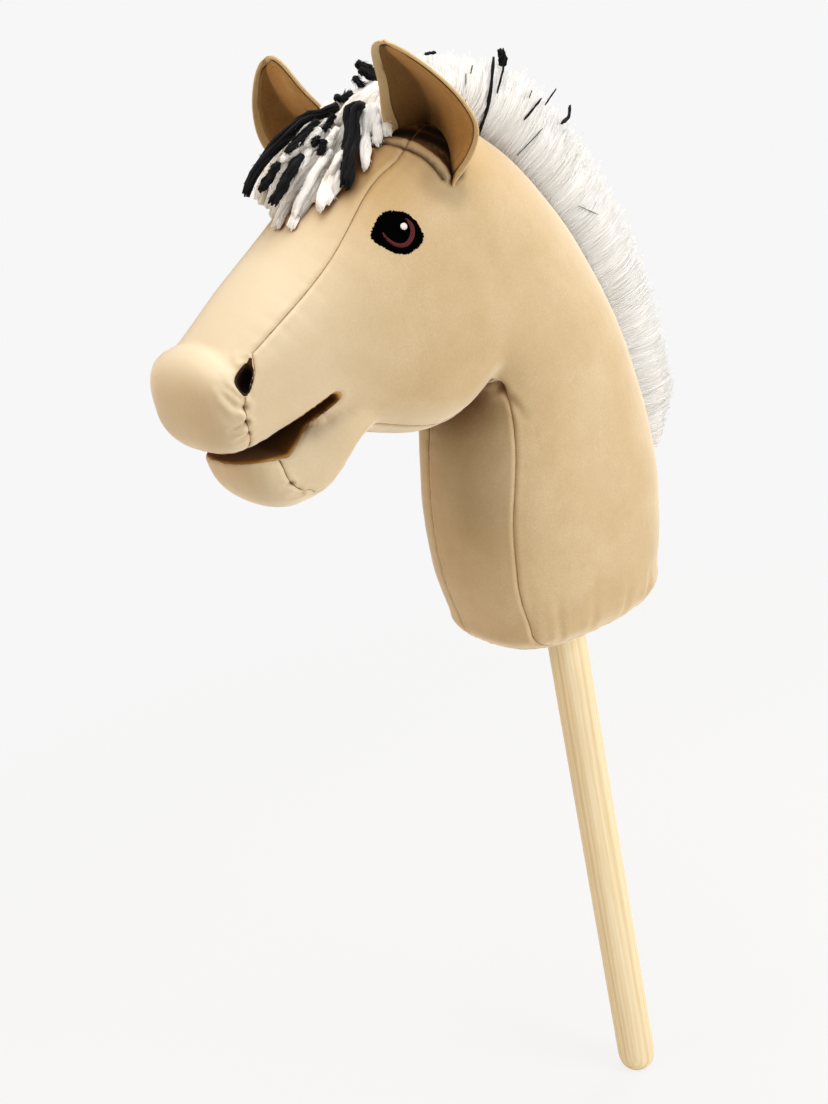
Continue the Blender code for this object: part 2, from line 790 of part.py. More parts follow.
def band_patch(name, tree, frame, outer, inner, start, stop, lift, thickness, steps=12):
    """An open ring on the skin, narrowing to its two ends."""
    outlines = []
    for step in range(steps + 1):
        angle = math.radians(start + (stop - start) * step / steps)
        fullness = math.sin(math.pi * (IRIS_END_SHARE + (1 - 2 * IRIS_END_SHARE) * step / steps))
        middle = (outer + inner) / 2
        reach = (outer - inner) / 2 * fullness
        row = []
        for share in (middle - reach, middle + reach):
            u, v = eye_outline(angle)
            row.append((u * share, v * share))
        outlines.append(row)
    low, high = skin_patch(tree, frame, outlines, lift, thickness)
    count = len(low)
    faces = [(0, 1, count + 1, count), (count - 2, 2 * count - 2, 2 * count - 1, count - 1)]
    for step in range(steps):
        a = 2 * step
        faces.append((a, a + 2, a + 3, a + 1))
        faces.append((count + a, count + a + 1, count + a + 3, count + a + 2))
        faces.append((a, count + a, count + a + 2, a + 2))
        faces.append((a + 1, a + 3, count + a + 3, count + a + 1))
    return face_outwards(add_object(name, low + high, faces))


def eye_outline(angle):
    """Edge point of the eye in its own plane; angle runs from the front over the top."""
    power = 2 / EYE_ROUNDNESS
    u = math.copysign(abs(math.cos(angle)) ** power, math.cos(angle)) * EYE_HALF_LENGTH
    v = math.copysign(abs(math.sin(angle)) ** power, math.sin(angle)) * EYE_HALF_HEIGHT
    turn = math.radians(EYE_TILT)
    return u * math.cos(turn) - v * math.sin(turn), u * math.sin(turn) + v * math.cos(turn)


def make_eyes(body, surfaces):
    """Each eye is embroidered: a black ground, a red crescent and a white glint."""
    built = bmesh.new()
    built.from_mesh(body.data)
    tree = BVHTree.FromBMesh(built)
    built.free()
    start = at(BEYOND_SIDES, *EYE_CENTRE)
    centre, normal = tree.ray_cast(start, Vector((-1, 0, 0)))[:2]
    front = Vector((0, -1, 0))
    across = (front - normal * front.dot(normal)).normalized()
    upward = normal.cross(across)
    upward = upward if upward.z > 0 else -upward
    frame = (centre, across, upward, normal)
    ground = disc_patch("left_eye_ground", tree, frame, eye_outline, (0, 0), EYE_GAP, EYE_THREAD)
    next_lift = 2 * EYE_GAP + EYE_THREAD
    iris = band_patch(
        "left_eye_iris", tree, frame, IRIS_OUTER, IRIS_INNER, IRIS_START, IRIS_END, next_lift, EYE_THREAD
    )
    glint = disc_patch(
        "left_eye_glint",
        tree,
        frame,
        lambda angle: (GLINT_RADIUS * math.cos(angle), GLINT_RADIUS * math.sin(angle)),
        GLINT_PLACE,
        next_lift,
        EYE_THREAD,
        rings=1,
        segments=12,
    )
    for piece, name, surface in (
        (ground, "eye_ground", "thread_black"),
        (iris, "eye_iris", "thread_red"),
        (glint, "eye_glint", "thread_white"),
    ):
        finish(piece, "left_" + name, surfaces[surface])
        finish(mirrored(piece, "right_" + name), "right_" + name, surfaces[surface])


def offset(x, forward, height):
    """World vector of a step in the outline's directions; x is in metres."""
    return Vector((x, -forward * MM, height * MM))


def ear_sheet(name, ear, lift, margin):
    """A leaf-shaped sheet folded into a cup. lift moves it into the cup and margin draws in its edge."""
    base, tip, bow = at(*ear["base"]), at(*ear["tip"]), offset(*ear["bow"])
    root_half = offset(*ear["root_half"])
    rise = tip - base
    angle = math.radians(ear["facing"])
    leaf = Vector((math.cos(angle), math.sin(angle), 0))
    leaf = (leaf - rise * (leaf.dot(rise) / rise.dot(rise))).normalized()
    leaf = leaf - Vector((0, 0, ear["droop"]))
    facing = leaf.cross(rise).normalized()
    low, high = [], []
    start = -EAR_ROOT / rise.length
    stop = 1 - margin / rise.length
    for row in range(EAR_ROWS):
        share = start + (stop - start) * row / (EAR_ROWS - 1)
        grown = max(0.0, share)
        spread = math.sin(math.pi / 2 * min(1.0, grown / EAR_WIDEST_AT))
        reach = root_half * (1 - spread) + leaf * (ear["half_width"] * spread)
        narrowed = reach.length * math.sqrt(1 - grown**EAR_NARROWING) - margin
        half = reach.normalized() * max(narrowed, EAR_TIP_BLUNTNESS)
        cup = EAR_CUP * (1 - grown**EAR_FLATTENING) + EAR_TIP_BLUNTNESS
        middle = base + rise * share + bow * math.sin(math.pi * grown**0.8)
        curl = EAR_CURL * max(0.0, 1 - grown / EAR_CURL_HEIGHT) ** 1.5
        for column in range(EAR_COLUMNS):
            side = -1 + 2 * column / (EAR_COLUMNS - 1)
            depth = cup * (1 - abs(side) ** EAR_FOLD) - curl * side * side
            point = middle + half * side - facing * depth
            low.append(point + facing * lift)
            high.append(point + facing * (lift + EAR_FABRIC))
    count = EAR_ROWS * EAR_COLUMNS
    faces = []
    for row in range(EAR_ROWS - 1):
        for column in range(EAR_COLUMNS - 1):
            a = row * EAR_COLUMNS + column
            faces.append((a, a + 1, a + EAR_COLUMNS + 1, a + EAR_COLUMNS))
            faces.append((count + a, count + a + EAR_COLUMNS, count + a + EAR_COLUMNS + 1, count + a + 1))
        for column in (0, EAR_COLUMNS - 1):
            a = row * EAR_COLUMNS + column
            faces.append((a, a + EAR_COLUMNS, count + a + EAR_COLUMNS, count + a))
    for column in range(EAR_COLUMNS - 1):
        for a in (column, (EAR_ROWS - 1) * EAR_COLUMNS + column):
            faces.append((a, a + 1, count + a + 1, count + a))
    return face_outwards(add_object(name, low + high, faces))


def make_ears(clearance_form, surfaces):
    """Each ear is an outer leaf and a lining, seated on the head."""
    for side, ear in EARS.items():
        for piece, lift, margin, surface in (
            ("ear_outer", 0.0, 0.0, "velour"),
            ("ear_lining", EAR_FABRIC + EAR_LINING_GAP, EAR_RIM, "ear_lining"),
        ):
            name = f"{side}_{piece}"
            sheet = ear_sheet(name, ear, lift, margin)
            if side == "right":
                whole = sheet
                sheet = mirrored(whole, name)
                bpy.data.objects.remove(whole, do_unlink=True)
            combine(sheet, clearance_form, "DIFFERENCE", keep_tool=True)
            finish(sheet, name, surfaces[surface])


def crest_line(count):
    """Points along the crest with their outward directions, from the poll to the lower neck."""
    rows = smooth_rows(HEAD_SECTIONS, CREST_STEPS)
    tops = np.array([row[0:2] for row in rows])
    steps = np.linalg.norm(np.diff(tops, axis=0), axis=1)
    along = np.concatenate([[0], np.cumsum(steps)]) / steps.sum()

    def crest(share):
        return np.array([np.interp(share, along, tops[:, k]) for k in (0, 1)])

    made = []
    for index in range(count):
        share = MANE_START + (MANE_END - MANE_START) * index / (count - 1)
        run = crest(share + CREST_SPAN) - crest(share - CREST_SPAN)
        made.append((crest(share), np.array([run[1], -run[0]]) / np.linalg.norm(run)))
    return made


def make_mane_tape(surface):
    rings = []
    for point, direction in crest_line(MANE_ROWS):
        low = point + direction * FIT_GAP / MM
        high = low + direction * MANE_TAPE / MM
        half = MANE_TAPE_WIDTH / 2
        rings.append([at(-half, *low), at(half, *low), at(half, *high), at(-half, *high)])
    return finish(strip("mane_tape", rings), "mane_tape", surface)


def strip(name, rings):
    """A closed body through rings, with flat ends."""
    count = len(rings[0])
    points = [p for one in rings for p in one]
    faces = [tuple(range(count)), tuple(range(len(points) - 1, len(points) - 1 - count, -1))]
    for row in range(len(rings) - 1):
        for i in range(count):
            j = (i + 1) % count
            low, high = row * count, (row + 1) * count
            faces.append((low + i, low + j, high + j, high + i))
    return face_outwards(add_object(name, points, faces))


def mane_fullness(share):
    """The yarn's length along the mane as a share: longest over the crest, tapering at its lower end."""
    start = min(1.0, MANE_POLL_SHARE + (1 - MANE_POLL_SHARE) * share * 4.5)
    neck = 1 - (1 - MANE_NECK_SHARE) * max(0.0, (share - 0.3) / 0.7)
    end = math.sqrt(min(1.0, max(0.0, (1 - share) / 0.10)) * 0.75 + 0.25)
    return start * neck * end


def mane_foot():
    """Height of the yarn's foot above the crest."""
    return 2 * FIT_GAP + MANE_TAPE


def make_mane():
    """Yarn brushed up on both sides of the tape, its ends cut in a ragged line."""
    rings = []
    line = crest_line(MANE_ROWS)
    for index, (point, direction) in enumerate(line):
        foot = mane_foot()
        ragged = MANE_LOCK_STEP * (index % 2)
        height = MANE_LENGTH * mane_fullness(index / (len(line) - 1)) - ragged
        section = []
        for half, rise in (
            (MANE_TAPE_WIDTH / 2, foot),
            (MANE_SPREAD / 2, foot + height * MANE_WIDEST_AT),
            (MANE_SHOULDER / 2, foot + height * MANE_SHOULDER_AT),
            (MANE_TIP / 2, foot + height),
        ):
            section.append((half, point + direction * rise / MM))
        right = [at(half, *place) for half, place in section]
        left = [at(-half, *place) for half, place in section[::-1]]
        rings.append(right + left)
    return strip("mane_white_yarn", rings)


def black_lock(share, grow):
    """A tapered blade of black yarn in the mane, standing a little out of it."""
    point, direction = crest_line(MANE_ROWS)[int(share * (MANE_ROWS - 1))]
    along = np.array([direction[1], -direction[0]])
    foot = mane_foot()
    height = MANE_LENGTH * mane_fullness(share) + BLACK_LOCK_RISE
    rings = []
    for rise, size in ((foot + 0.006 - grow, 0.55), (foot + 0.6 * height, 1.0), (foot + height + grow, 0.45)):
        half = BLACK_LOCK_WIDTH / 2 * size + grow
        centre = point + direction * rise / MM
        ends = [centre - along * half / MM, centre + along * half / MM]
        rings.append([at(-half, *ends[0]), at(half, *ends[0]), at(half, *ends[1]), at(-half, *ends[1])])
    return strip("black_lock", rings)


def make_manes(surfaces):
    mane = make_mane()
    for number, share in enumerate(BLACK_LOCK_PLACES, 1):
        combine(mane, black_lock(share, FIT_GAP), "DIFFERENCE")
        name = f"mane_black_yarn_{number}"
        finish(black_lock(share, 0.0), name, surfaces["yarn_black"])
    finish(mane, "mane_white_yarn", surfaces["yarn_white"])


def tuft(name, path, radius):
    """A round lock of yarn along a path, full in its middle and blunt at its end."""
    rings = []
    count = len(path)
    for index, point in enumerate(path):
        ahead = path[min(index + 1, count - 1)] - path[max(index - 1, 0)]
        ahead.normalize()
        side = ahead.cross(Vector((0, 0, 1)))
        side = side.normalized() if side.length > 1e-6 else Vector((1, 0, 0))
        upward = side.cross(ahead)
        share = math.sin(index / (count - 1) * math.pi / 2)
        size = radius * (TUFT_END_SHARE + (1 - TUFT_END_SHARE) * math.sin(math.pi * share))
        size *= TUFT_TIP_SHARE if index == count - 1 else 1.0
        circle = []
        for i in range(TUFT_SIDES):
            angle = 2 * math.pi * i / TUFT_SIDES
            circle.append(point + side * (size * math.cos(angle)) + upward * (size * math.sin(angle)))
        rings.append(circle)
    return strip(name, rings)


def tuft_path(root, tip, rise):
    """An arc from root to tip that stands rise above the straight line between them."""
    path = []
    for index in range(TUFT_RINGS):
        t = math.sin(index / (TUFT_RINGS - 1) * math.pi / 2)
        point = root.lerp(tip, t)
        path.append(point + Vector((0, 0, 1)) * rise * 4 * t * (1 - t))
    return path


def forelock_tuft(place, root_height, radius):
    root_x, tip_x, tip, rise = place
    root = at(root_x * MM, FORELOCK_ROOT[0], root_height)
    return tuft("tuft", tuft_path(root, at(tip_x * MM, *tip), rise * MM), radius)


def make_forelock(name, tufts, root_height, clearance_form, surface):
    """Tufts that spring from one knotted root across the poll."""
    ends = [at(side * FORELOCK_ROOT_HALF_WIDTH, FORELOCK_ROOT[0], root_height) for side in (-1, 1)]
    knot = [ends[0].lerp(ends[1], step / 5) for step in range(6)]
    joined = tuft(name, knot, TUFT_RADIUS)
    for place in tufts:
        combine(joined, forelock_tuft(place, root_height, TUFT_RADIUS), "UNION")
    combine(joined, clearance_form, "DIFFERENCE", keep_tool=True)
    return finish(joined, name, surface)


def make_forelocks(clearance_form, surfaces):
    """A white layer, and a black one that lies on it and is pressed in where they cross."""
    low = FORELOCK_ROOT[1]
    make_forelock("forelock_white_yarn", WHITE_TUFTS, low, clearance_form, surfaces["yarn_white"])
    high = low + (2 * TUFT_RADIUS + 2 * FIT_GAP) / MM
    black = make_forelock("forelock_black_yarn", BLACK_TUFTS, high, clearance_form, surfaces["yarn_black"])
    for place in WHITE_TUFTS:
        combine(black, forelock_tuft(place, low, TUFT_RADIUS + FIT_GAP), "DIFFERENCE")
    finish(black, "forelock_black_yarn", surfaces["yarn_black"])


def main():
    clear_scene()
    surfaces = {
        "velour": material("tan velour", VELOUR_TAN, 0.95),
        "ear_lining": material("ear lining velour", EAR_LINING_TAN, 0.95),
        "mouth": material("mouth lining velour", MOUTH_TAN, 0.95),
        "yarn_white": material("white yarn", YARN_WHITE, 0.9),
        "yarn_black": material("black yarn", YARN_BLACK, 0.85),
        "pine": material("pine", PINE, 0.6),
        "thread_black": material("black embroidery thread", THREAD_BLACK, 0.6),
        "thread_red": material("red embroidery thread", THREAD_RED, 0.6),
        "thread_white": material("white embroidery thread", THREAD_WHITE, 0.6),
        "stuffing": material("polyester filling", STUFFING_WHITE, 1.0),
        "sleeve": material("sleeve plastic", SLEEVE_PLASTIC, 0.6),
    }
    make_stick(surfaces["pine"])
    make_sleeve(surfaces["sleeve"])
    make_stuffing(surfaces["stuffing"])

    skin = stuffed_body(0.0, 0.0)
    make_eyes(skin, surfaces)
    make_panels(hollowed(skin, stuffed_body(FABRIC, FABRIC)), surfaces)

    clearance_form = head_form(-FIT_GAP)
    make_ears(clearance_form, surfaces)
    make_mane_tape(surfaces["velour"])
    make_manes(surfaces)
    make_forelocks(clearance_form, surfaces)
    bpy.data.objects.remove(clearance_form, do_unlink=True)


main()
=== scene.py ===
import math

import bmesh
import bpy
import numpy as np
from mathutils import Matrix, Vector, noise
from mathutils.bvhtree import BVHTree
from mathutils.kdtree import KDTree


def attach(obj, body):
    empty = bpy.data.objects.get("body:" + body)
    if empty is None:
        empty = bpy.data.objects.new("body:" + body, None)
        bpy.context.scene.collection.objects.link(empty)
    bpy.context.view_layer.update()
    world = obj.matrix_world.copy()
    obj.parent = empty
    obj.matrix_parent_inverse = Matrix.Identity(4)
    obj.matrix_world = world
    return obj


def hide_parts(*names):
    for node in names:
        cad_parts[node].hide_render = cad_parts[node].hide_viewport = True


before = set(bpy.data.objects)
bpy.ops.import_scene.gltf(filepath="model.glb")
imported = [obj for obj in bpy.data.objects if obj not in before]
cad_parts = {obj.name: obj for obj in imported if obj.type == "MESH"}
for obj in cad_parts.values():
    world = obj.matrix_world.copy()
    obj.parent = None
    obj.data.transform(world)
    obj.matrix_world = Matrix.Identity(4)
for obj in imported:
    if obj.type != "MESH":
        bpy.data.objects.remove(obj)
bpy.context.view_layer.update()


# Stick.
# A slim pine dowel with a rounded foot, turned, sanded and left bare. It pushes up into the sleeve
# inside the neck and is held there by friction alone.

MM = 0.001
PINE_RING = 3.2 * MM
PINE_FIBRE = 0.9 * MM
PINE_STRETCH = 0.035


def linear(hex_colour):
    """Blender's linear colour of an sRGB hex value."""
    parts = [int(hex_colour[i : i + 2], 16) / 255 for i in (1, 3, 5)]
    return [c / 12.92 if c <= 0.04045 else ((c + 0.055) / 1.055) ** 2.4 for c in parts] + [1.0]


def add(tree, kind, sockets=None, stops=None, **settings):
    """Adds a node with its settings. Each of its sockets gets a value, or a link from another node."""
    made = tree.nodes.new("ShaderNode" + kind)
    for name, value in settings.items():
        setattr(made, name, value)
    for name, value in (sockets or {}).items():
        if isinstance(value, bpy.types.NodeSocket):
            tree.links.new(value, made.inputs[name])
        else:
            made.inputs[name].default_value = value
    if stops:
        ramp = made.color_ramp.elements
        while len(ramp) < len(stops):
            ramp.new(0.5)
        for element, (place, colour) in zip(ramp, stops):
            element.position = place
            element.color = linear(colour)
    return made


def blank_material(name):
    """A material with an empty node tree, and that tree."""
    made = bpy.data.materials.new(name)
    made.use_nodes = True
    made.node_tree.nodes.clear()
    return made, made.node_tree


def wear(thing, finish):
    """Gives a piece or node this one material."""
    thing.data.materials.clear()
    thing.data.materials.append(finish)


def sanded_pine():
    """Bare sanded pine: pale and dull, with growth rings and darker fibres along its whole length."""
    made, tree = blank_material("sanded_pine")
    place = add(tree, "TexCoord").outputs["Object"]
    grown = {"Vector": place, "Scale": (1, 1, PINE_STRETCH), "Rotation": (0, 0, 0.6)}
    lengthwise = add(tree, "Mapping", grown).outputs["Vector"]
    rings = add(
        tree,
        "TexWave",
        {"Vector": lengthwise, "Scale": math.pi / (10 * PINE_RING), "Distortion": 5.0, "Detail": 2.0,
         "Detail Scale": 0.6},
        bands_direction="X",
    )
    fine = {"Vector": lengthwise, "Scale": 1 / PINE_FIBRE, "Detail": 4.0, "Roughness": 0.6}
    fibres = add(tree, "TexNoise", fine)
    both = add(tree, "Mix", {"Factor": 0.45, "A": rings.outputs["Fac"], "B": fibres.outputs["Fac"]})
    tone = add(
        tree,
        "ValToRGB",
        {"Fac": both.outputs["Result"]},
        stops=[(0.15, "#e0c796"), (0.42, "#ecd9b2"), (0.62, "#f1e2c0"), (0.85, "#e6cf9f")],
    )
    polish = add(tree, "MapRange", {"Value": fibres.outputs["Fac"], "To Min": 0.5, "To Max": 0.68})
    relief = add(
        tree, "Bump", {"Height": fibres.outputs["Fac"], "Strength": 0.25, "Distance": 0.15 * MM}
    )
    shader = add(
        tree,
        "BsdfPrincipled",
        {"Base Color": tone.outputs["Color"], "Roughness": polish.outputs["Result"],
         "Normal": relief.outputs["Normal"], "IOR": 1.45},
    )
    add(tree, "OutputMaterial", {"Surface": shader.outputs["BSDF"]})
    return made


wear(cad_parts["stick"], sanded_pine())


# Sleeve.
# A stiff moulded plastic tube with a closed top, sewn in at the hem. It guides the stick and keeps it
# from working up through the filling.


def moulded_polypropylene():
    """Moulded polypropylene: milky, with a faint mottle and a soft waxy gloss."""
    made, tree = blank_material("moulded_polypropylene")
    place = add(tree, "TexCoord").outputs["Object"]
    mottle = add(tree, "TexNoise", {"Vector": place, "Scale": 1 / (4 * MM), "Detail": 3.0})
    tone = add(
        tree, "ValToRGB", {"Fac": mottle.outputs["Fac"]}, stops=[(0.3, "#d2d0c9"), (0.7, "#dedcd6")]
    )
    polish = add(tree, "MapRange", {"Value": mottle.outputs["Fac"], "To Min": 0.35, "To Max": 0.5})
    relief = add(tree, "Bump", {"Height": mottle.outputs["Fac"], "Strength": 0.1, "Distance": 0.1 * MM})
    shader = add(
        tree,
        "BsdfPrincipled",
        {"Base Color": tone.outputs["Color"], "Roughness": polish.outputs["Result"],
         "Normal": relief.outputs["Normal"], "IOR": 1.49},
    )
    add(tree, "OutputMaterial", {"Surface": shader.outputs["BSDF"]})
    return made


wear(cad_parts["stick_sleeve"], moulded_polypropylene())


# Filling.
# Loose polyester fibre, pushed into the sewn skin in lumps: the neck round its sleeve, the head, and the
# lower jaw. Each lump swells until the skin stops it.

FILLING_VOXEL = 3.5 * MM
FILLING_LUMP = 14 * MM
FILLING_DENT = 0.9 * MM
FILLING_SLACK = 0.9 * MM


def new_piece(name, mesh):
    """A smooth-shaded object of this mesh, put into the scene."""
    thing = bpy.data.objects.new(name, mesh)
    bpy.context.scene.collection.objects.link(thing)
    mesh.shade_smooth()
    return thing


def worked(thing):
    """The mesh of thing with its modifiers worked in."""
    graph = bpy.context.evaluated_depsgraph_get()
    mesh = bpy.data.meshes.new_from_object(thing.evaluated_get(graph))
    thing.modifiers.clear()
    thing.data = mesh
    return mesh


def remeshed(thing, voxel):
    """The mesh of thing, made anew from even voxels."""
    step = thing.modifiers.new("remesh", "REMESH")
    step.mode = "VOXEL"
    step.voxel_size = voxel
    step.use_smooth_shade = True
    return worked(thing)


def places_of(mesh):
    """All points of a mesh, as rows of metres."""
    places = np.empty(len(mesh.vertices) * 3, np.float32)
    mesh.vertices.foreach_get("co", places)
    return places.reshape(-1, 3).astype(float)


def put_places(mesh, places):
    mesh.vertices.foreach_set("co", places.astype(np.float32).ravel())
    mesh.update()


def eased(places, ends, times, pull=0.5, push=-0.52):
    """Evens out a surface without shrinking it: each pass pulls points to their neighbours, then back."""
    counts = np.bincount(ends.ravel(), minlength=len(places))[:, None]
    for step in range(2 * times):
        total = np.zeros_like(places)
        for near, far in ((0, 1), (1, 0)):
            for axis in range(3):
                total[:, axis] += np.bincount(ends[:, near], places[ends[:, far], axis], len(places))
        places = places + (total / counts - places) * (pull if step % 2 == 0 else push)
    return places


def edge_ends(mesh):
    """The two point numbers of each edge of a mesh."""
    ends = np.empty(len(mesh.edges) * 2, np.int32)
    mesh.edges.foreach_get("vertices", ends)
    return ends.reshape(-1, 2)


def polyester_fibre():
    """Carded polyester fibre: bright white, fluffy and dull, with fine crossing fibres."""
    made, tree = blank_material("polyester_fibre")
    place = add(tree, "TexCoord").outputs["Object"]
    crossing = {"Vector": place, "Scale": 1 / (2.5 * MM), "Detail": 6.0, "Distortion": 2.0}
    fluff = add(tree, "TexNoise", crossing)
    tone = add(
        tree, "ValToRGB", {"Fac": fluff.outputs["Fac"]}, stops=[(0.3, "#e2e0da"), (0.65, "#f5f4f0")]
    )
    dullness = add(tree, "MapRange", {"Value": fluff.outputs["Fac"], "To Min": 0.85, "To Max": 1.0})
    relief = add(tree, "Bump", {"Height": fluff.outputs["Fac"], "Strength": 0.6, "Distance": 0.6 * MM})
    shader = add(
        tree,
        "BsdfPrincipled",
        {"Base Color": tone.outputs["Color"], "Roughness": dullness.outputs["Result"],
         "Normal": relief.outputs["Normal"], "Sheen Weight": 0.3},
    )
    add(tree, "OutputMaterial", {"Surface": shader.outputs["BSDF"]})
    return made


def fit(piece, finish, slot, *nodes):
    """Dresses a piece in its finish. It stands for its CAD nodes and rides on the head."""
    wear(piece, finish)
    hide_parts(*nodes)
    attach(piece, "head")


fibre = polyester_fibre()
for lump in ("head", "jaw", "neck"):
    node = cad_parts[f"{lump}_stuffing"]
    filling = new_piece(f"{lump}_filling", node.data.copy())
    mesh = remeshed(filling, FILLING_VOXEL)
    places = eased(places_of(mesh), edge_ends(mesh), 4)
    inward = np.array([-v.normal for v in mesh.vertices])
    lumps = np.array([noise.noise(Vector(place) / FILLING_LUMP) for place in places])
    dents = FILLING_SLACK + FILLING_DENT * (0.5 + 0.5 * lumps)
    put_places(mesh, places + inward * dents[:, None])
    fit(filling, fibre, "polyester_filling", f"{lump}_stuffing")


# Sewn skin.
# Short-pile velour in a camel tan, cut as two side panels and four gussets, with linings for the mouth
# and the nostrils, sewn inside out, turned and stuffed. The filling rounds every panel out, and each
# seam lies in a groove that the thread pulls in.

NECK_HEM_HEIGHT = 0.328
STICK_RADIUS = 12 * MM
SLEEVE_OUTSIDE = STICK_RADIUS + 1.7 * MM
SLEEVE_TOP = NECK_HEM_HEIGHT + 0.158
SKIN_VOXEL = 1.5 * MM
CLOTH = 1.4 * MM
SMOOTHING_PASSES = 8

# Sections from the nostrils back over the poll and down to the hem, in mm above the hem:
# top forward, top height, bottom forward, bottom height, half width, roundness above, roundness below.
HEAD_SECTIONS = [
    (196, 228, 193, 172, 41, 2.6, 2.6),
    (174, 245, 168, 174, 44, 2.5, 2.5),
    (147, 264, 140, 167, 48, 2.4, 2.5),
    (120, 283, 112, 156, 53, 2.35, 2.6),
    (98, 299, 88, 149, 57, 2.3, 2.8),
    (72, 312, 70, 152, 59, 2.3, 3.2),
    (44, 313, 58, 161, 59, 2.2, 3.6),
    (17, 299, 52, 166, 58, 2.15, 3.8),
    (-9, 273, 49, 162, 57, 2.1, 3.8),
    (-32, 239, 50, 152, 56, 2.1, 3.7),
    (-50, 203, 56, 134, 56, 2.15, 3.5),
    (-62, 164, 62, 110, 57, 2.25, 3.3),
    (-68, 122, 67, 84, 58, 2.4, 3.1),
    (-70, 82, 69, 60, 57, 2.5, 2.9),
    (-66, 49, 69, 44, 55.5, 2.5, 2.8),
    (-61, 25, 65, 23, 53, 2.5, 2.8),
]
NOSE_LENGTH = 22.5
NOSE_DIRECTION = (0.999, -0.03)
NOSE_BLUNTNESS = 2.6
HEM_DROP = 25
HEM_BLUNTNESS = 2.6
JAW_SECTIONS = [
    (116, 195, 110, 163, 36, 2.2, 2.2),
    (141, 190, 130, 157, 41, 2.4, 2.4),
    (162, 182, 151, 137, 37, 2.4, 2.4),
    (181, 176, 169, 133.5, 33, 2.4, 2.4),
]
CHIN_LENGTH = 24
CHIN_DIRECTION = (0.99, 0.15)
CHIN_BLUNTNESS = 2.3
MOUTH_CORNER = (147, 190)
MOUTH_CORNER_RADIUS = 2.2
MOUTH_UPPER_SLOPE = -26.0
MOUTH_UPPER_LIP = 41
MOUTH_UPPER_LIP_SLOPE = 0.0
MOUTH_LOWER_SLOPE = -37.0
MOUTH_LOWER_LIP = 36
MOUTH_LOWER_LIP_SLOPE = 4.0
MOUTH_REACH = 75
NOSTRIL_TOP = (37.6, 186.7, 221.5)
NOSTRIL_BOTTOM = (40.2, 194.7, 205.1)
NOSTRIL_BULGE = 5.2
NOSTRIL_BACK = 1.3
NOSTRIL_DEPTH = 8.5
NOSTRIL_OUTWARD = (0.80, 0.52, 0.30)
LINING_EDGE = 0.8
NOSTRIL_EDGE = 0.8
BASE_SEAM_HEIGHT = 7
# How many points go round each form, and how far the stick's hole clears the sleeve.
BODY_RING, JAW_RING, BORE_RING = 96, 72, 48
NOSTRIL_ROWS, NOSTRIL_RING = 20, 24
MOUTH_ARC_STEPS = 16
ROW_STEPS = 7
BORE_GAP = 0.4 * MM
BORE_TOP_GAP = 0.5 * MM
MOUTH_HALF_WIDTH = 90
# A value for places that lie far outside a panel.
FAR_OUTSIDE = 500.0

# A gusset's stations in mm: half width, middle, inner point, outer point.
FOREHEAD_SEAM = [
    (7, 0, (6, 282), (6, 360)),
    (22, 0, (40, 280), (44, 360)),
    (36, 0, (74, 276), (80, 350)),
    (35.5, 0, (90, 262), (112, 330)),
    (39.5, 0, (124, 240), (156, 310)),
    (38.8, 0, (156, 218), (196, 280)),
    (36.8, 0, (172, 204), (228, 262)),
    (35, 0, (178, 196), (240, 220)),
]
THROAT_SEAM = [
    (32.5, 9, (20, 167), (48, 167)),
    (34, 10, (15, 158), (60, 158)),
    (35, 11, (12, 150), (63, 150)),
    (35, 12, (10, 140), (92, 140)),
    (35, 12, (10, 120), (110, 120)),
    (32, 12, (10, 80), (110, 80)),
    (28, 13, (10, 40), (110, 40)),
    (22, 16, (10, -20), (110, -20)),
]
CHIN_SEAM = [
    (28, 0, (168, 160), (166, 100)),
    (29, 0, (140, 168), (134, 110)),
    (30, 0, (126, 172), (120, 110)),
    (33, 0, (90, 168), (86, 118)),
    (35, 0, (67, 172), (66.5, 140)),
    (36, 5, (46, 176), (60, 150)),
]

# Rear edges of the gussets on the sides of the muzzle and of the lower jaw, from top to bottom.
NOSE_SEAM = [(183, 232), (188, 214), (195.5, 204), (197, 192), (195, 182), (191, 168)]
LIP_SEAM = [(180, 170), (179, 162), (178.5, 157), (176.5, 152), (171.5, 146.5), (162, 140.5), (146, 110)]
MOUTH_LEVEL = 171


def at(x, forward, height):
    """World point of an outline point, all in mm."""
    return Vector((x * MM, -forward * MM, NECK_HEM_HEIGHT + height * MM))


def outline_places(places):
    """(x, forward, height) in mm of world points."""
    return np.column_stack([places[:, 0], -places[:, 1], places[:, 2] - NECK_HEM_HEIGHT]) / MM


def curve_between(before, start, stop, after, t):
    """The point at share t from start to stop, on a smooth curve through all four."""
    bend = 2 * before - 5 * start + 4 * stop - after
    twist = 3 * start - before - 3 * stop + after
    return 0.5 * (2 * start + (stop - before) * t + bend * t * t + twist * t**3)


def smooth_rows(rows, steps):
    """Rows on a smooth curve through the given rows, with steps to each gap."""
    rows = np.array(rows, float)
    ends = np.vstack([2 * rows[0] - rows[1], rows, 2 * rows[-1] - rows[-2]])
    made = []
    for four in zip(ends, ends[1:], ends[2:], ends[3:]):
        made += [curve_between(*four, step / steps) for step in range(steps)]
    made.append(rows[-1])
    return made


def middle_and_half(row):
    """A section's middle, and the step from there to its top."""
    return (row[0:2] + row[2:4]) / 2, (row[0:2] - row[2:4]) / 2


def cap_rows(row, direction, length, blunt, steps=12):
    """Rows that round off the end of a form beyond its last section."""
    centre, half = middle_and_half(row)
    made = []
    for step in range(1, steps + 1):
        angle = step / steps * math.pi / 2
        size = max(math.cos(angle), 0.02) ** (2 / blunt)
        middle = centre + np.array(direction) * length * math.sin(angle) ** (2 / blunt)
        made.append(np.hstack([middle + half * size, middle - half * size, row[4] * size, row[5:7]]))
    return made


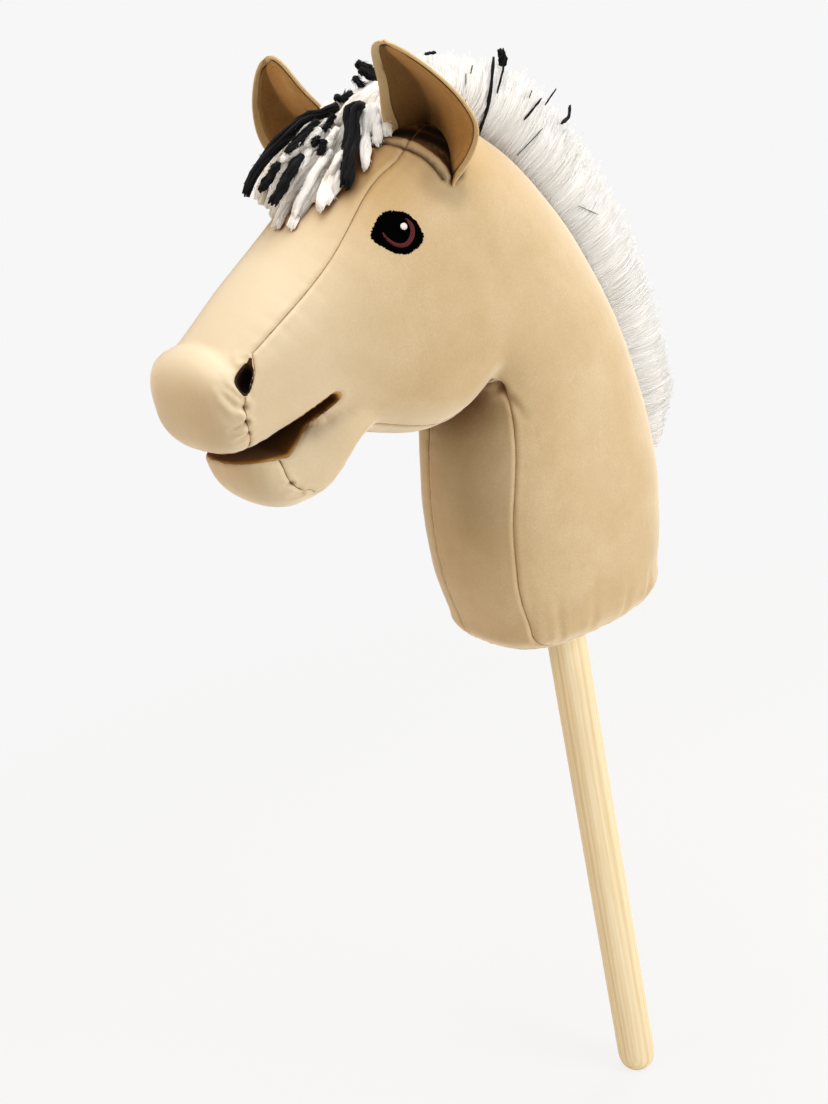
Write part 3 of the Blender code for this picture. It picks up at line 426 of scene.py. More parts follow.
def section_ring(row, count):
    """World points round a section, which is a rounded box of its own roundness above and below."""
    centre, half = middle_and_half(row)
    points = []
    for step in range(count):
        angle = 2 * math.pi * step / count
        power = 2 / (row[5] if math.cos(angle) > 0 else row[6])
        across = math.copysign(abs(math.sin(angle)) ** power, math.sin(angle))
        upward = math.copysign(abs(math.cos(angle)) ** power, math.cos(angle))
        points.append(at(row[4] * across, *(centre + half * upward)))
    return points


def closed_piece(name, points, faces, weld=0.0):
    """A closed body whose faces all look out. Points nearer than weld become one."""
    mesh = bpy.data.meshes.new(name)
    mesh.from_pydata(points, [], faces)
    body = bmesh.new()
    body.from_mesh(mesh)
    if weld:
        bmesh.ops.remove_doubles(body, verts=body.verts, dist=weld)
    bmesh.ops.recalc_face_normals(body, faces=body.faces)
    if body.calc_volume(signed=True) < 0:
        bmesh.ops.reverse_faces(body, faces=body.faces)
    body.to_mesh(mesh)
    body.free()
    return new_piece(name, mesh)


def closed_tube(name, rings):
    """A closed body through rings of equal count, facing out."""
    count = len(rings[0])
    points = [tuple(p) for one in rings for p in one]
    faces = [tuple(range(count)), tuple(range(len(points) - 1, len(points) - 1 - count, -1))]
    for row in range(len(rings) - 1):
        for i in range(count):
            j = (i + 1) % count
            low, high = row * count, (row + 1) * count
            faces.append((low + i, low + j, high + j, high + i))
    return closed_piece(name, points, faces)


def combine(thing, tool, operation, crossing=False):
    """One Boolean, worked into the mesh of thing."""
    step = thing.modifiers.new("combine", "BOOLEAN")
    step.operation = operation
    step.solver = "EXACT"
    step.use_self = crossing
    step.object = tool
    worked(thing)
    bpy.data.objects.remove(tool, do_unlink=True)


def mouth_outline():
    """The mouth from the side: an arc round its corner, and two lips that each bend once."""
    corner = np.array(MOUTH_CORNER, float)
    upper, lower = math.radians(MOUTH_UPPER_SLOPE), math.radians(MOUTH_LOWER_SLOPE)
    start, stop = upper + math.pi / 2, lower + 3 * math.pi / 2
    arc = []
    for step in range(MOUTH_ARC_STEPS + 1):
        angle = start + (stop - start) * step / MOUTH_ARC_STEPS
        arc.append(corner + MOUTH_CORNER_RADIUS * np.array([math.cos(angle), math.sin(angle)]))
    lips = []
    for foot, slope, length, lip_slope in (
        (arc[-1], lower, MOUTH_LOWER_LIP, MOUTH_LOWER_LIP_SLOPE),
        (arc[0], upper, MOUTH_UPPER_LIP, MOUTH_UPPER_LIP_SLOPE),
    ):
        lip = math.radians(lip_slope)
        bend = foot + length * np.array([math.cos(slope), math.sin(slope)])
        end = bend + (MOUTH_REACH - length) * np.array([math.cos(lip), math.sin(lip)])
        lips.append((bend, end))
    (lower_bend, lower_end), (upper_bend, upper_end) = lips
    return np.array(arc + [lower_bend, lower_end, upper_end, upper_bend])


def nostril_frame():
    """The nostril's middle, its own axes (across, out of the muzzle, up) and its half sizes in mm."""
    top, bottom = at(*NOSTRIL_TOP), at(*NOSTRIL_BOTTOM)
    upright = (top - bottom).normalized()
    outward = Vector((NOSTRIL_OUTWARD[0], -NOSTRIL_OUTWARD[1], NOSTRIL_OUTWARD[2]))
    outward = (outward - upright * outward.dot(upright)).normalized()
    turn = Matrix((outward.cross(upright), outward, upright)).transposed()
    return (top + bottom) / 2, turn, (NOSTRIL_BULGE, NOSTRIL_DEPTH, (top - bottom).length / 2 / MM)


def nostril_half(down, forward):
    """The opening's half width in mm at a share of its height: it bulges forward, not back."""
    if forward:
        return NOSTRIL_BULGE * np.sin(math.pi * down**1.4)
    return NOSTRIL_BACK * np.sin(math.pi * down)


def nostril_lens(side):
    """The body that is cut from the muzzle to open a nostril."""
    middle, turn, half = nostril_frame()
    rings = []
    for row in range(1, NOSTRIL_ROWS):
        angle = math.pi * row / NOSTRIL_ROWS
        down = (1 - math.cos(angle)) / 2
        ring = []
        for i in range(NOSTRIL_RING):
            turned = 2 * math.pi * i / NOSTRIL_RING
            across = math.cos(turned)
            point = Vector((
                nostril_half(down, across > 0) * across,
                half[1] * math.sin(angle) * math.sin(turned),
                half[2] * math.cos(angle),
            ))
            place = middle + turn @ point * MM
            ring.append((place.x * side, place.y, place.z))
        rings.append(ring)
    return closed_tube("nostril_lens", rings)


def stuffed_body():
    """Head, neck and jaw in one, with the mouth, the nostrils and the stick's way in cut out."""
    rows = smooth_rows(HEAD_SECTIONS, ROW_STEPS)
    nose = cap_rows(rows[0], NOSE_DIRECTION, NOSE_LENGTH, NOSE_BLUNTNESS)
    hem = cap_rows(rows[-1], (0.0, -1.0), HEM_DROP, HEM_BLUNTNESS)
    body = closed_tube("skin", [section_ring(row, BODY_RING) for row in nose[::-1] + rows + hem])
    rows = smooth_rows(JAW_SECTIONS, ROW_STEPS)
    chin = cap_rows(rows[-1], CHIN_DIRECTION, CHIN_LENGTH, CHIN_BLUNTNESS)
    jaw = closed_tube("jaw", [section_ring(row, JAW_RING) for row in rows + chin])
    combine(body, jaw, "UNION")
    sides = (-MOUTH_HALF_WIDTH, MOUTH_HALF_WIDTH)
    wedge = [[at(side, *p) for p in mouth_outline()] for side in sides]
    combine(body, closed_tube("mouth", wedge), "DIFFERENCE", crossing=True)
    for side in (1, -1):
        combine(body, nostril_lens(side), "DIFFERENCE")
    bore = []
    for height in (NECK_HEM_HEIGHT / 2, SLEEVE_TOP + BORE_TOP_GAP):
        turns = [2 * math.pi * i / BORE_RING for i in range(BORE_RING)]
        reach = SLEEVE_OUTSIDE + BORE_GAP
        bore.append([(reach * math.cos(a), reach * math.sin(a), height) for a in turns])
    combine(body, closed_tube("bore", bore), "DIFFERENCE")
    return body


def gusset_depth(stations, spare=40):
    """How far inside a gusset a place lies, in mm: zero on the seam. Spare lengthens the stations."""
    rows = smooth_rows([(half, middle, *inner, *outer) for half, middle, inner, outer in stations], 5)
    halves = np.array([row[0] for row in rows])
    middles = np.array([row[1] for row in rows])
    inner = np.array([row[2:4] for row in rows])
    outer = np.array([row[4:6] for row in rows])
    along = outer - inner
    lengths = np.linalg.norm(along, axis=1)
    along = along / lengths[:, None]
    last = len(rows) - 1

    def depth(places):
        flat = places[:, 1:]
        sides, reaches = [], []
        for index in range(len(rows)):
            step = flat - inner[index]
            ahead = index + 1 if index < last else index - 1
            towards = (inner[ahead] + outer[ahead]) / 2 - inner[index]
            turn = along[index][0] * towards[1] - along[index][1] * towards[0]
            turn = math.copysign(1.0, turn) * (1 if index < last else -1)
            sides.append((along[index][0] * step[:, 1] - along[index][1] * step[:, 0]) * turn)
            reaches.append(step @ along[index])
        best = np.full(len(places), -FAR_OUTSIDE)
        for index in range(last):
            near, far = sides[index], sides[index + 1]
            inside = (near >= 0) & (far <= 0)
            ends = np.full(len(places), FAR_OUTSIDE)
            if index == 0:
                inside |= (near < 0) & (near > -30)
                ends = np.minimum(ends, near)
            if index == last - 1:
                inside |= (far > 0) & (far < 30)
                ends = np.minimum(ends, -far)
            span = np.where(np.abs(near - far) < 1e-9, 1.0, near - far)
            share = np.clip(near / span, 0, 1)
            width = halves[index] + (halves[index + 1] - halves[index]) * share
            middle = middles[index] + (middles[index + 1] - middles[index]) * share
            reach = reaches[index] + (reaches[index + 1] - reaches[index]) * share
            inside &= (reach > 0) & (reach < lengths[index] + spare)
            value = np.minimum(width - np.abs(places[:, 0] - middle), ends)
            best = np.where(inside, np.maximum(best, value), best)
        return best

    return depth


def front_depth(bar, rear_edge, low, high):
    """A gusset's measure where it also covers all ahead of a rear edge between two heights."""
    edge = np.array(smooth_rows(rear_edge, 6))

    def depth(places):
        flat = places[:, 1:]
        nearest = np.full(len(flat), 1e9)
        signed = np.zeros(len(flat))
        for start, stop in zip(edge, edge[1:]):
            run = stop - start
            step = flat - start
            share = np.clip(step @ run / (run @ run), 0, 1)
            distance = np.linalg.norm(step - share[:, None] * run, axis=1)
            side = np.sign(run[0] * step[:, 1] - run[1] * step[:, 0])
            closer = distance < nearest
            signed = np.where(closer, distance * side, signed)
            nearest = np.minimum(nearest, distance)
        ahead = (flat[:, 1] > low) & (flat[:, 1] < high)
        return np.maximum(bar(places), np.where(ahead, signed, -FAR_OUTSIDE))

    return depth


def mouth_depth(places):
    """How far inside the mouth's outline a place lies, in mm, with the lining's edge counted in."""
    outline = mouth_outline()
    flat = places[:, 1:]
    nearest = np.full(len(flat), 1e9)
    inside = np.zeros(len(flat), bool)
    for start, stop in zip(outline, np.roll(outline, -1, axis=0)):
        run = stop - start
        share = np.clip((flat - start) @ run / (run @ run), 0, 1)
        nearest = np.minimum(nearest, np.linalg.norm(flat - start - share[:, None] * run, axis=1))
        crosses = (start[1] > flat[:, 1]) != (stop[1] > flat[:, 1])
        safe = run[1] if run[1] else 1.0
        inside ^= crosses & (flat[:, 0] < start[0] + (flat[:, 1] - start[1]) / safe * run[0])
    return np.where(inside, nearest, -nearest) + LINING_EDGE


def nostril_depth(side):
    """How far inside a nostril's opening a place lies, in mm."""
    middle, turn, half = nostril_frame()

    def depth(places):
        world = np.array([at(*place) for place in places * (side, 1, 1)])
        own = (world - np.array(middle)) @ np.array(turn) / MM
        level = np.clip(own[:, 2] / half[2], -0.999, 0.999)
        down = (1 - level) / 2
        width = np.where(own[:, 0] > 0, nostril_half(down, True), nostril_half(down, False))
        width = width + NOSTRIL_EDGE
        reach = half[1] * np.sqrt(1 - level**2) + NOSTRIL_EDGE
        inside = (1 - np.hypot(own[:, 0] / width, own[:, 1] / reach)) * width
        return np.minimum(inside, half[2] + NOSTRIL_EDGE - np.abs(own[:, 2]))

    return depth


# Points nearer to a seam than this share of their edge slide onto it, so that no sliver is left.
SEAM_SLIDE = 0.25
# Beyond this many mm the measure only jumps from one station to another, and no seam runs there.
SEAM_TRUST = 50


def mark_panel(skin, number, depth_of):
    """Cuts the skin where depth_of is zero, and numbers the free faces inside that line."""
    panel = skin.faces.layers.int["panel"]
    depth = skin.verts.layers.float["depth"]
    values = depth_of(outline_places(np.array([v.co for v in skin.verts])))
    for vert, value in zip(skin.verts, values):
        vert[depth] = value if abs(value) > 1e-5 else 0.0

    def crossing():
        """The free edges that the seam crosses, with their ends and the share of each before it."""
        found = []
        for edge in skin.edges:
            a, b = edge.verts
            if a[depth] * b[depth] < 0 and max(abs(a[depth]), abs(b[depth])) < SEAM_TRUST:
                if any(face[panel] == 0 for face in edge.link_faces):
                    found.append((edge, a, b, a[depth] / (a[depth] - b[depth])))
        return found

    nearest = {}
    for edge, a, b, share in crossing():
        near, other, small = (a, b, share) if share < 0.5 else (b, a, 1 - share)
        if small < SEAM_SLIDE and all(face[panel] == 0 for face in near.link_faces):
            if near not in nearest or small < nearest[near][0]:
                nearest[near] = (small, near.co.lerp(other.co, small))
    for vert, (_, place) in nearest.items():
        vert.co = place
        vert[depth] = 0.0
    for edge, a, b, share in crossing():
        place = a.co.lerp(b.co, share)
        vert = bmesh.utils.edge_split(edge, a, share)[1]
        vert.co = place
        vert[depth] = 0.0
    waiting = [face for face in skin.faces if face[panel] == 0]
    while waiting:
        face = waiting.pop()
        loop = list(face.verts)
        signs = [(v[depth] > 0) - (v[depth] < 0) for v in loop]
        if 1 not in signs or -1 not in signs:
            continue
        count = len(loop)
        first = next(i for i in range(count) if signs[i] == 1 and signs[i - 1] != 1)
        stop = first
        while signs[stop % count] == 1:
            stop += 1
        before, after = loop[first - 1], loop[stop % count]
        if before is after or before[depth] or after[depth]:
            continue
        try:
            made = bmesh.utils.face_split(face, before, after)
        except ValueError:
            continue
        if made:
            waiting += [face, made[0]]
    for face in skin.faces:
        if face[panel] == 0:
            total = sum(v[depth] for v in face.verts)
            if total > 0:
                face[panel] = number


# Near black painted shade, for the ears' roots and the shaded side of each ear lining's fold.
PAINTED_ROOT_SHADE = "#140904"


def gathered_velour(name, pile, seam, deep, painted_light_tone, forehead_shade_tone=None, sheen=1.0, reach=55.0):
    """Short-pile velour, with painted light and shade: paler on the nose's bridge and the underside, darker
    on the forehead's upper faces, and warm brown in its folds.

    pile is its light, middle and dark tone, deep the painted shade in its folds, painted_light_tone the
    painted light on the nose's bridge and the underside, and forehead_shade_tone the painted shade on the
    forehead's upper faces. Folds show over reach, in mm.
    """
    light, middle, dark = pile
    made, tree = blank_material(name)
    place = add(tree, "TexCoord").outputs["Object"]
    nap = add(tree, "TexNoise", {"Vector": place, "Scale": 1 / (38 * MM), "Detail": 2.0, "Distortion": 0.5})
    rub = add(tree, "TexNoise", {"Vector": place, "Scale": 1 / (7 * MM), "Detail": 3.0, "Roughness": 0.5})
    # The pile stands 0.3 mm apart, too fine to show here, so its grain is drawn at about 1 mm.
    fine = {"Vector": place, "Scale": 1 / (1.1 * MM), "Detail": 3.0, "Roughness": 0.7}
    grain = add(tree, "TexNoise", fine)
    clouds = add(tree, "Mix", {"Factor": 0.25, "A": nap.outputs["Fac"], "B": rub.outputs["Fac"]})
    mottle = add(tree, "Mix", {"Factor": 0.42, "A": clouds.outputs["Result"], "B": grain.outputs["Fac"]})
    stops = [(0.3, dark), (0.5, middle), (0.7, light)]
    tone = add(tree, "ValToRGB", {"Fac": mottle.outputs["Result"]}, stops=stops)
    facing = add(tree, "NewGeometry")
    level = add(tree, "SeparateXYZ", {"Vector": facing.outputs["Normal"]}).outputs["Z"]
    along = add(tree, "SeparateXYZ", {"Vector": place}).outputs["Y"]
    # Ambient occlusion over reach, which paints shade into the folds.
    hollow = add(tree, "AmbientOcclusion", {"Distance": reach * MM}, samples=6).outputs["AO"]
    # Masks for painted light and shade: upper, ahead and under pick the faces painted paler, raised and
    # behind the forehead's faces painted browner, folded the occluded folds.
    share = {}
    for what, value, start, stop, low, high in (
        ("upper", level, 0.1, 0.85, 0.4, 0.9),
        ("ahead", along, -0.155, -0.1, 1.0, 0.0),
        ("under", level, -0.45, -0.95, 0.0, 0.9),
        ("raised", level, 0.25, 0.8, 0.0, 0.8 if forehead_shade_tone else 0.0),
        ("behind", along, -0.135, -0.1, 0.0, 1.0),
        ("folded", hollow, 0.25, 0.82, 1.0, 0.0),
    ):
        ends = {"Value": value, "From Min": start, "From Max": stop, "To Min": low, "To Max": high}
        kind = "SMOOTHSTEP" if what == "folded" else "LINEAR"
        share[what] = add(tree, "MapRange", ends, interpolation_type=kind).outputs["Result"]
    shade = add(tree, "Attribute", attribute_name="shade").outputs["Fac"]
    line = add(tree, "Attribute", attribute_name="seam").outputs["Fac"]
    for what, first, second, operation in (
        ("bridge", share["upper"], share["ahead"], "MULTIPLY"),
        ("brushed", share["raised"], share["behind"], "MULTIPLY"),
        ("closed", share["folded"], shade, "MAXIMUM"),
        ("stitched", line, 4.0, "POWER"),
    ):
        share[what] = add(tree, "Math", {0: first, 1: second}, operation=operation).outputs[0]
    flat = add(tree, "Math", {0: share["bridge"], 1: share["under"]}, operation="MAXIMUM").outputs[0]
    # Painted light and shade: the forehead's upper faces are painted browner as painted shade, and the
    # nose's bridge and the underside paler as painted light. Where cloth faces cloth, ambient occlusion
    # paints warm brown shade into the folds, and the ears' roots and one side of each ear lining's fold get
    # painted shade near black. The seams lie darker still, as stitched lines.
    colour = tone.outputs["Color"]
    for amount, laid in (
        (share["brushed"], forehead_shade_tone or middle), (flat, painted_light_tone), (share["folded"], deep), (shade, PAINTED_ROOT_SHADE),
        (share["stitched"], seam),
    ):
        layers = {"Factor": amount, "A": colour, "B": linear(laid)}
        colour = add(tree, "Mix", layers, data_type="RGBA").outputs["Result"]
    dullness = add(tree, "MapRange", {"Value": grain.outputs["Fac"], "To Min": 0.82, "To Max": 1.0})
    # The sheen fades where the painted shade lies.
    bloom = add(tree, "MapRange", {"Value": share["closed"], "To Min": sheen, "To Max": 0.05 * sheen})
    rise = {"Height": mottle.outputs["Result"], "Strength": 0.4, "Distance": 0.4 * MM}
    relief = add(tree, "Bump", rise)
    shader = add(
        tree,
        "BsdfPrincipled",
        {"Base Color": colour, "Roughness": dullness.outputs["Result"], "Normal": relief.outputs["Normal"],
         "Sheen Weight": bloom.outputs["Result"], "Sheen Roughness": 0.35, "Sheen Tint": linear("#fff6e8"),
         "Specular IOR Level": 0.15},
    )
    add(tree, "OutputMaterial", {"Surface": shader.outputs["BSDF"]})
    return made


def give_attribute(mesh, name, values):
    """Stores one value for each point, for a material to read."""
    mesh.attributes.new(name, "FLOAT", "POINT").data.foreach_set("value", np.asarray(values, np.float32))


# How far the filling keeps from a nostril's pocket: beside it, behind it, and to what depth, in mm.
POCKET_SIDE, POCKET_BACK, POCKET_REACH = 5, 4, 25


def clear_of_nostrils(places):
    """World places of the filling, pressed in where the nostrils' linings lie."""
    middle, turn, half = nostril_frame()
    middle, turn = np.array(middle), np.array(turn)
    wide, high = half[0] + POCKET_SIDE, half[2] + POCKET_SIDE
    for side in (1, -1):
        own = (places * (side, 1, 1) - middle) @ turn / MM
        near = 1 - (own[:, 0] / wide) ** 2 - (own[:, 2] / high) ** 2
        floor = np.where(near > 0, -(half[1] + POCKET_BACK) * np.sqrt(np.clip(near, 0, 1)), 1e9)
        pressed = np.minimum(own[:, 1], floor)
        own[:, 1] = np.where(np.abs(own[:, 1]) < POCKET_REACH, pressed, own[:, 1])
        places = (own * MM @ turn.T + middle) * (side, 1, 1)
    return places


filling = bpy.data.objects["head_filling"].data
put_places(filling, clear_of_nostrils(places_of(filling)))
skin = stuffed_body()
mesh = remeshed(skin, SKIN_VOXEL)
put_places(mesh, eased(places_of(mesh), edge_ends(mesh), SMOOTHING_PASSES))

# The panels in the order they are cut, each with the measure that is zero on its seam.
PANELS = [
    ("mouth_lining", mouth_depth),
    ("left_nostril_lining", nostril_depth(1)),
    ("right_nostril_lining", nostril_depth(-1)),
    ("base_panel", lambda places: BASE_SEAM_HEIGHT - places[:, 2]),
    ("forehead_gusset", front_depth(gusset_depth(FOREHEAD_SEAM), NOSE_SEAM, MOUTH_LEVEL, 240)),
    ("chin_gusset", front_depth(gusset_depth(CHIN_SEAM, spare=6), LIP_SEAM, 90, MOUTH_LEVEL)),
    ("throat_gusset", gusset_depth(THROAT_SEAM, spare=4)),
    ("left_side_panel", lambda places: places[:, 0]),
    ("right_side_panel", lambda places: -places[:, 0]),
]
built = bmesh.new()
built.from_mesh(mesh)
panel_layer = built.faces.layers.int.new("panel")
built.verts.layers.float.new("depth")
# The skin ends at the hem, so nothing of it lines the stick's way in.
bore_reach = SLEEVE_OUTSIDE + 1.0 * MM
inner_faces = []
for face in built.faces:
    middle = face.calc_center_median()
    if math.hypot(middle.x, middle.y) < bore_reach and middle.z < SLEEVE_TOP + 2 * MM:
        if middle.z > NECK_HEM_HEIGHT + 1.6 * MM:
            inner_faces.append(face)
bmesh.ops.delete(built, geom=inner_faces, context="FACES")
for number, (name, depth_of) in enumerate(PANELS, 1):
    mark_panel(built, number, depth_of)
bmesh.ops.triangulate(built, faces=[f for f in built.faces if len(f.verts) > 4])
built.normal_update()
built.verts.ensure_lookup_table()

# The stitched groove, the roll of cloth beside it, and how far from a seam the mesh is finer, in mm.
SEAM_DEPTH, SEAM_WIDTH, SEAM_MARK, SEAM_FINE = 0.5, 0.75, 1.1, 3.2
SEAM_ROLL, SEAM_ROLL_AT, SEAM_ROLL_WIDTH = 0.3, 2.6, 1.6
# The panels' fall towards their seams, the gathers that the thread pulls in, and the filling's lumps.
PILLOW, PILLOW_REACH = 0.7, 8.0
PUCKER_HEIGHT, PUCKER_SPACING, PUCKER_REACH, PUCKER_RISE = 0.28, 4.5, 7.0, 1.5
LUMP_HEIGHT, LUMP = 0.7, 38.0
# Beside an opening the cloth is pressed to this share of its thickness, over this reach.
THIN_SHARE, THIN_REACH = 0.12, 6.0
# The simulated swelling: its mesh, pressure and frames, the most that it moves a point, and how near
# to a seam the cloth is held, in mm.
FILLED_VOXEL = 5 * MM
FILLED_PRESSURE, FILLED_FRAMES = 120.0, 20
FILLED_CAP, FILLED_HOLD = 1.4, 4.0
# The crease of the skin along the front of an ear's root.
EAR_CREASE = [
    (20.5, 85.5, 303.0), (26.0, 79.0, 303.0), (32.5, 75.0, 300.5), (37.5, 71.5, 297.5),
    (41.5, 68.0, 293.5), (45.0, 66.0, 289.5), (48.0, 64.5, 284.5), (49.5, 64.0, 281.5),
]
# Folds that the stitching pulls into the cloth, each with its depth and width in mm and its run from the
# open end to the stitches. A fold of negative depth stands proud. Those marked both come on both sides.
FOLDS = [
    ("both", 1.5, 1.5, [(33.6, 203.4, 216.8), (37.2, 202.8, 211.4), (39.4, 199.6, 206.6),
                        (40.0, 197.5, 204.0)]),
    ("both", 1.7, 1.6, [(35.0, 206.0, 214.2), (37.6, 205.0, 208.1), (39.1, 201.6, 202.6),
                        (40.2, 196.7, 199.7)]),
    ("both", -1.0, 2.0, [(36.2, 206.8, 204.0), (38.2, 203.5, 198.5), (39.8, 198.5, 196.0)]),
    ("both", 2.2, 1.3, [(36.6, 206.0, 189.6), (38.2, 201.2, 191.0), (39.4, 197.0, 192.3)]),
    ("both", -1.0, 1.6, [(36.5, 203.5, 186.6), (38.4, 198.5, 188.4)]),
    ("both", 1.5, 1.2, [(34.0, 203.0, 183.5), (37.4, 196.8, 185.8)]),
    ("both", -1.1, 1.8, [(31.9, 191.6, 225.8), (34.5, 194.0, 223.0), (37.8, 192.5, 221.0)]),
    ("both", 1.4, 1.2, [(31.2, 181.5, 151.8), (32.6, 176.5, 152.2)]),
    ("both", -0.8, 1.4, [(30.6, 180.5, 148.6), (31.6, 175.0, 148.8)]),
    ("both", 1.4, 1.2, [(29.2, 178.0, 144.6), (30.4, 170.5, 144.0)]),
    ("left", 2.0, 3.2, [(34.0, 78.0, 157.0), (39.0, 60.0, 162.0), (41.0, 47.0, 166.0)]),
    ("left", 1.5, 2.2, [(52.0, 40.0, 146.0), (46.0, 44.0, 158.0), (42.0, 46.0, 165.0)]),
    ("left", -1.2, 2.4, [(47.0, 56.0, 152.0), (44.0, 50.0, 160.0)]),
    ("both", 0.9, 2.6, [(56.0, 14.0, 42.0), (55.0, 16.0, 26.0), (51.0, 17.0, 9.0)]),
    ("both", 0.9, 2.2, [(50.0, 38.0, 40.0), (49.0, 38.0, 25.0), (46.0, 37.0, 9.0)]),
    ("both", 1.0, 2.6, [(56.0, -12.0, 36.0), (54.0, -10.0, 22.0), (50.0, -9.0, 9.0)]),
    ("both", 0.9, 2.4, [(52.0, -36.0, 38.0), (49.0, -33.0, 22.0), (45.0, -30.0, 9.0)]),
    ("both", 0.7, 2.0, [(42.6, 52.4, 35.9), (41.5, 52.0, 24.0), (40.0, 50.0, 9.0)]),
    ("both", -2.4, 1.5, [(17.0, 86.0, 303.5), (20.5, 82.5, 304.0), (23.5, 78.0, 304.5), (27.5, 74.0, 304.0),
                         (34.0, 70.0, 301.5), (38.0, 66.5, 298.0), (41.5, 64.0, 294.0), (45.5, 62.0, 289.5),
                         (48.0, 61.0, 285.5), (49.5, 61.0, 281.5)]),
    ("both", 1.8, 1.2, EAR_CREASE),
]
# Painted shade where the cloth at an ear's root lies in the dark: strength, reach in mm, and its run.
EAR_SHADOWS = [
    (1.0, 5.0, [(24.0, 72.0, 306.0), (29.0, 66.0, 305.0), (34.0, 61.0, 302.5), (38.0, 56.0, 298.5),
                (42.0, 52.5, 293.5), (46.5, 52.5, 287.5), (49.0, 55.5, 283.0)]),
    (1.0, 4.0, [(30.0, 56.0, 306.0), (36.0, 50.0, 301.0), (42.0, 46.0, 294.0)]),
    (0.9, 1.4, [(32.5, 65.0, 303.0), (36.0, 62.5, 300.5), (40.5, 60.0, 295.5), (45.0, 58.0, 290.5),
                (48.5, 58.0, 284.5), (50.0, 59.0, 281.0)]),
    (0.85, 1.3, EAR_CREASE),
    (0.22, 9.0, [(50.0, 70.0, 281.0), (53.0, 62.0, 274.0)]),
]


def distance_to(places, run):
    """Each place's distance to a run of points, and how far along the run its nearest point lies."""
    run = np.array(run)
    lengths = np.linalg.norm(np.diff(run, axis=0), axis=1)
    starts = np.concatenate([[0], np.cumsum(lengths)[:-1]])
    nearest = np.full(len(places), 1e9)
    share = np.zeros(len(places))
    for start, stop, length, before in zip(run, run[1:], lengths, starts):
        part = np.clip((places - start) @ (stop - start) / length**2, 0, 1)
        away = np.linalg.norm(places - start - part[:, None] * (stop - start), axis=1)
        closer = away < nearest
        share = np.where(closer, (before + part * length) / lengths.sum(), share)
        nearest = np.minimum(nearest, away)
    return nearest, share


def fold_shift(places, depth, width, run):
    """How far each place of the skin moves out for one fold: a valley between two low shoulders."""
    nearest, share = distance_to(places, run)
    full = depth * np.clip(0.25 + 1.1 * share, 0, 1)
    shoulders = 0.3 * np.exp(-(((nearest - 2 * width) / width) ** 2))
    return full * (shoulders - np.exp(-((nearest / width) ** 2)))


def seam_finder():
    """The seams' points in a tree, and whether each lies on the edge of the mouth or of a nostril."""
    tree, marks = KDTree(len(built.verts)), {}
    for vert in built.verts:
        joined = {face[panel_layer] for face in vert.link_faces}
        if len(joined) > 1:
            tree.insert(Vector(outline_places(np.array([vert.co]))[0]), vert.index)
            marks[vert.index] = bool(joined & {1, 2, 3})
    tree.balance()
    return tree, marks


def swollen(places, tree):
    """How far the filling's pressure moves each place, in mm: a cloth held at its seams, simulated."""
    ball = new_piece("swelling_copy", skin.data.copy())
    mesh = remeshed(ball, FILLED_VOXEL)
    rest = places_of(mesh)
    rest_mm = outline_places(rest)
    held = np.array([tree.find(Vector(place))[2] < FILLED_HOLD for place in rest_mm])
    for opening in (mouth_depth, nostril_depth(1), nostril_depth(-1)):
        held |= opening(rest_mm) > -1.0
    held |= np.hypot(rest[:, 0], rest[:, 1]) < bore_reach + 2 * MM
    ball.vertex_groups.new(name="held").add([int(i) for i in np.flatnonzero(held)], 1.0, "REPLACE")
    cloth = ball.modifiers.new("cloth", "CLOTH")
    cloth.settings.vertex_group_mass = "held"
    cloth.settings.quality = 5
    cloth.settings.use_pressure = True
    cloth.settings.uniform_pressure_force = FILLED_PRESSURE
    cloth.settings.effector_weights.gravity = 0.0
    cloth.collision_settings.use_collision = False
    cloth.collision_settings.use_self_collision = False
    cloth.point_cache.frame_start, cloth.point_cache.frame_end = 1, FILLED_FRAMES
    for frame_number in range(1, FILLED_FRAMES + 1):
        bpy.context.scene.frame_set(frame_number)
    graph = bpy.context.evaluated_depsgraph_get()
    result = ball.evaluated_get(graph).to_mesh()
    step = (places_of(result) - rest) / MM
    step = eased(step, edge_ends(mesh), 2, 0.5, 0.0)
    length = np.linalg.norm(step, axis=1, keepdims=True) + 1e-9
    step *= FILLED_CAP * np.tanh(length / FILLED_CAP) / length
    ball.evaluated_get(graph).to_mesh_clear()
    bpy.context.scene.frame_set(1)
    near_tree = KDTree(len(rest_mm))
    for index, place in enumerate(rest_mm):
        near_tree.insert(Vector(place), index)
    near_tree.balance()
    moved = np.zeros_like(places)
    for index, place in enumerate(places):
        near = near_tree.find_n(Vector(place), 4)
        weights = np.array([1 / (item[2] ** 2 + 1.0) for item in near])
        moved[index] = weights @ step[[item[1] for item in near]] / weights.sum()
    bpy.data.objects.remove(ball, do_unlink=True)
    return moved


# The mesh is made finer beside the seams, for their grooves and gathers.
tree, _ = seam_finder()
places = outline_places(np.array([v.co for v in built.verts]))
close = [tree.find(Vector(place))[2] < SEAM_FINE for place in places]
fine = [edge for edge in built.edges if close[edge.verts[0].index] and close[edge.verts[1].index]]
bmesh.ops.subdivide_edges(built, edges=fine, cuts=1, use_grid_fill=True)
bmesh.ops.triangulate(built, faces=[f for f in built.faces if len(f.verts) > 4])
built.normal_update()
built.verts.index_update()
built.verts.ensure_lookup_table()
places = outline_places(np.array([v.co for v in built.verts]))
tree, at_opening = seam_finder()
swelling = swollen(places, tree)
open_edges = [index for index, opens in at_opening.items() if opens]
edge_tree = KDTree(len(open_edges))
for index in open_edges:
    edge_tree.insert(Vector(places[index]), index)
edge_tree.balance()
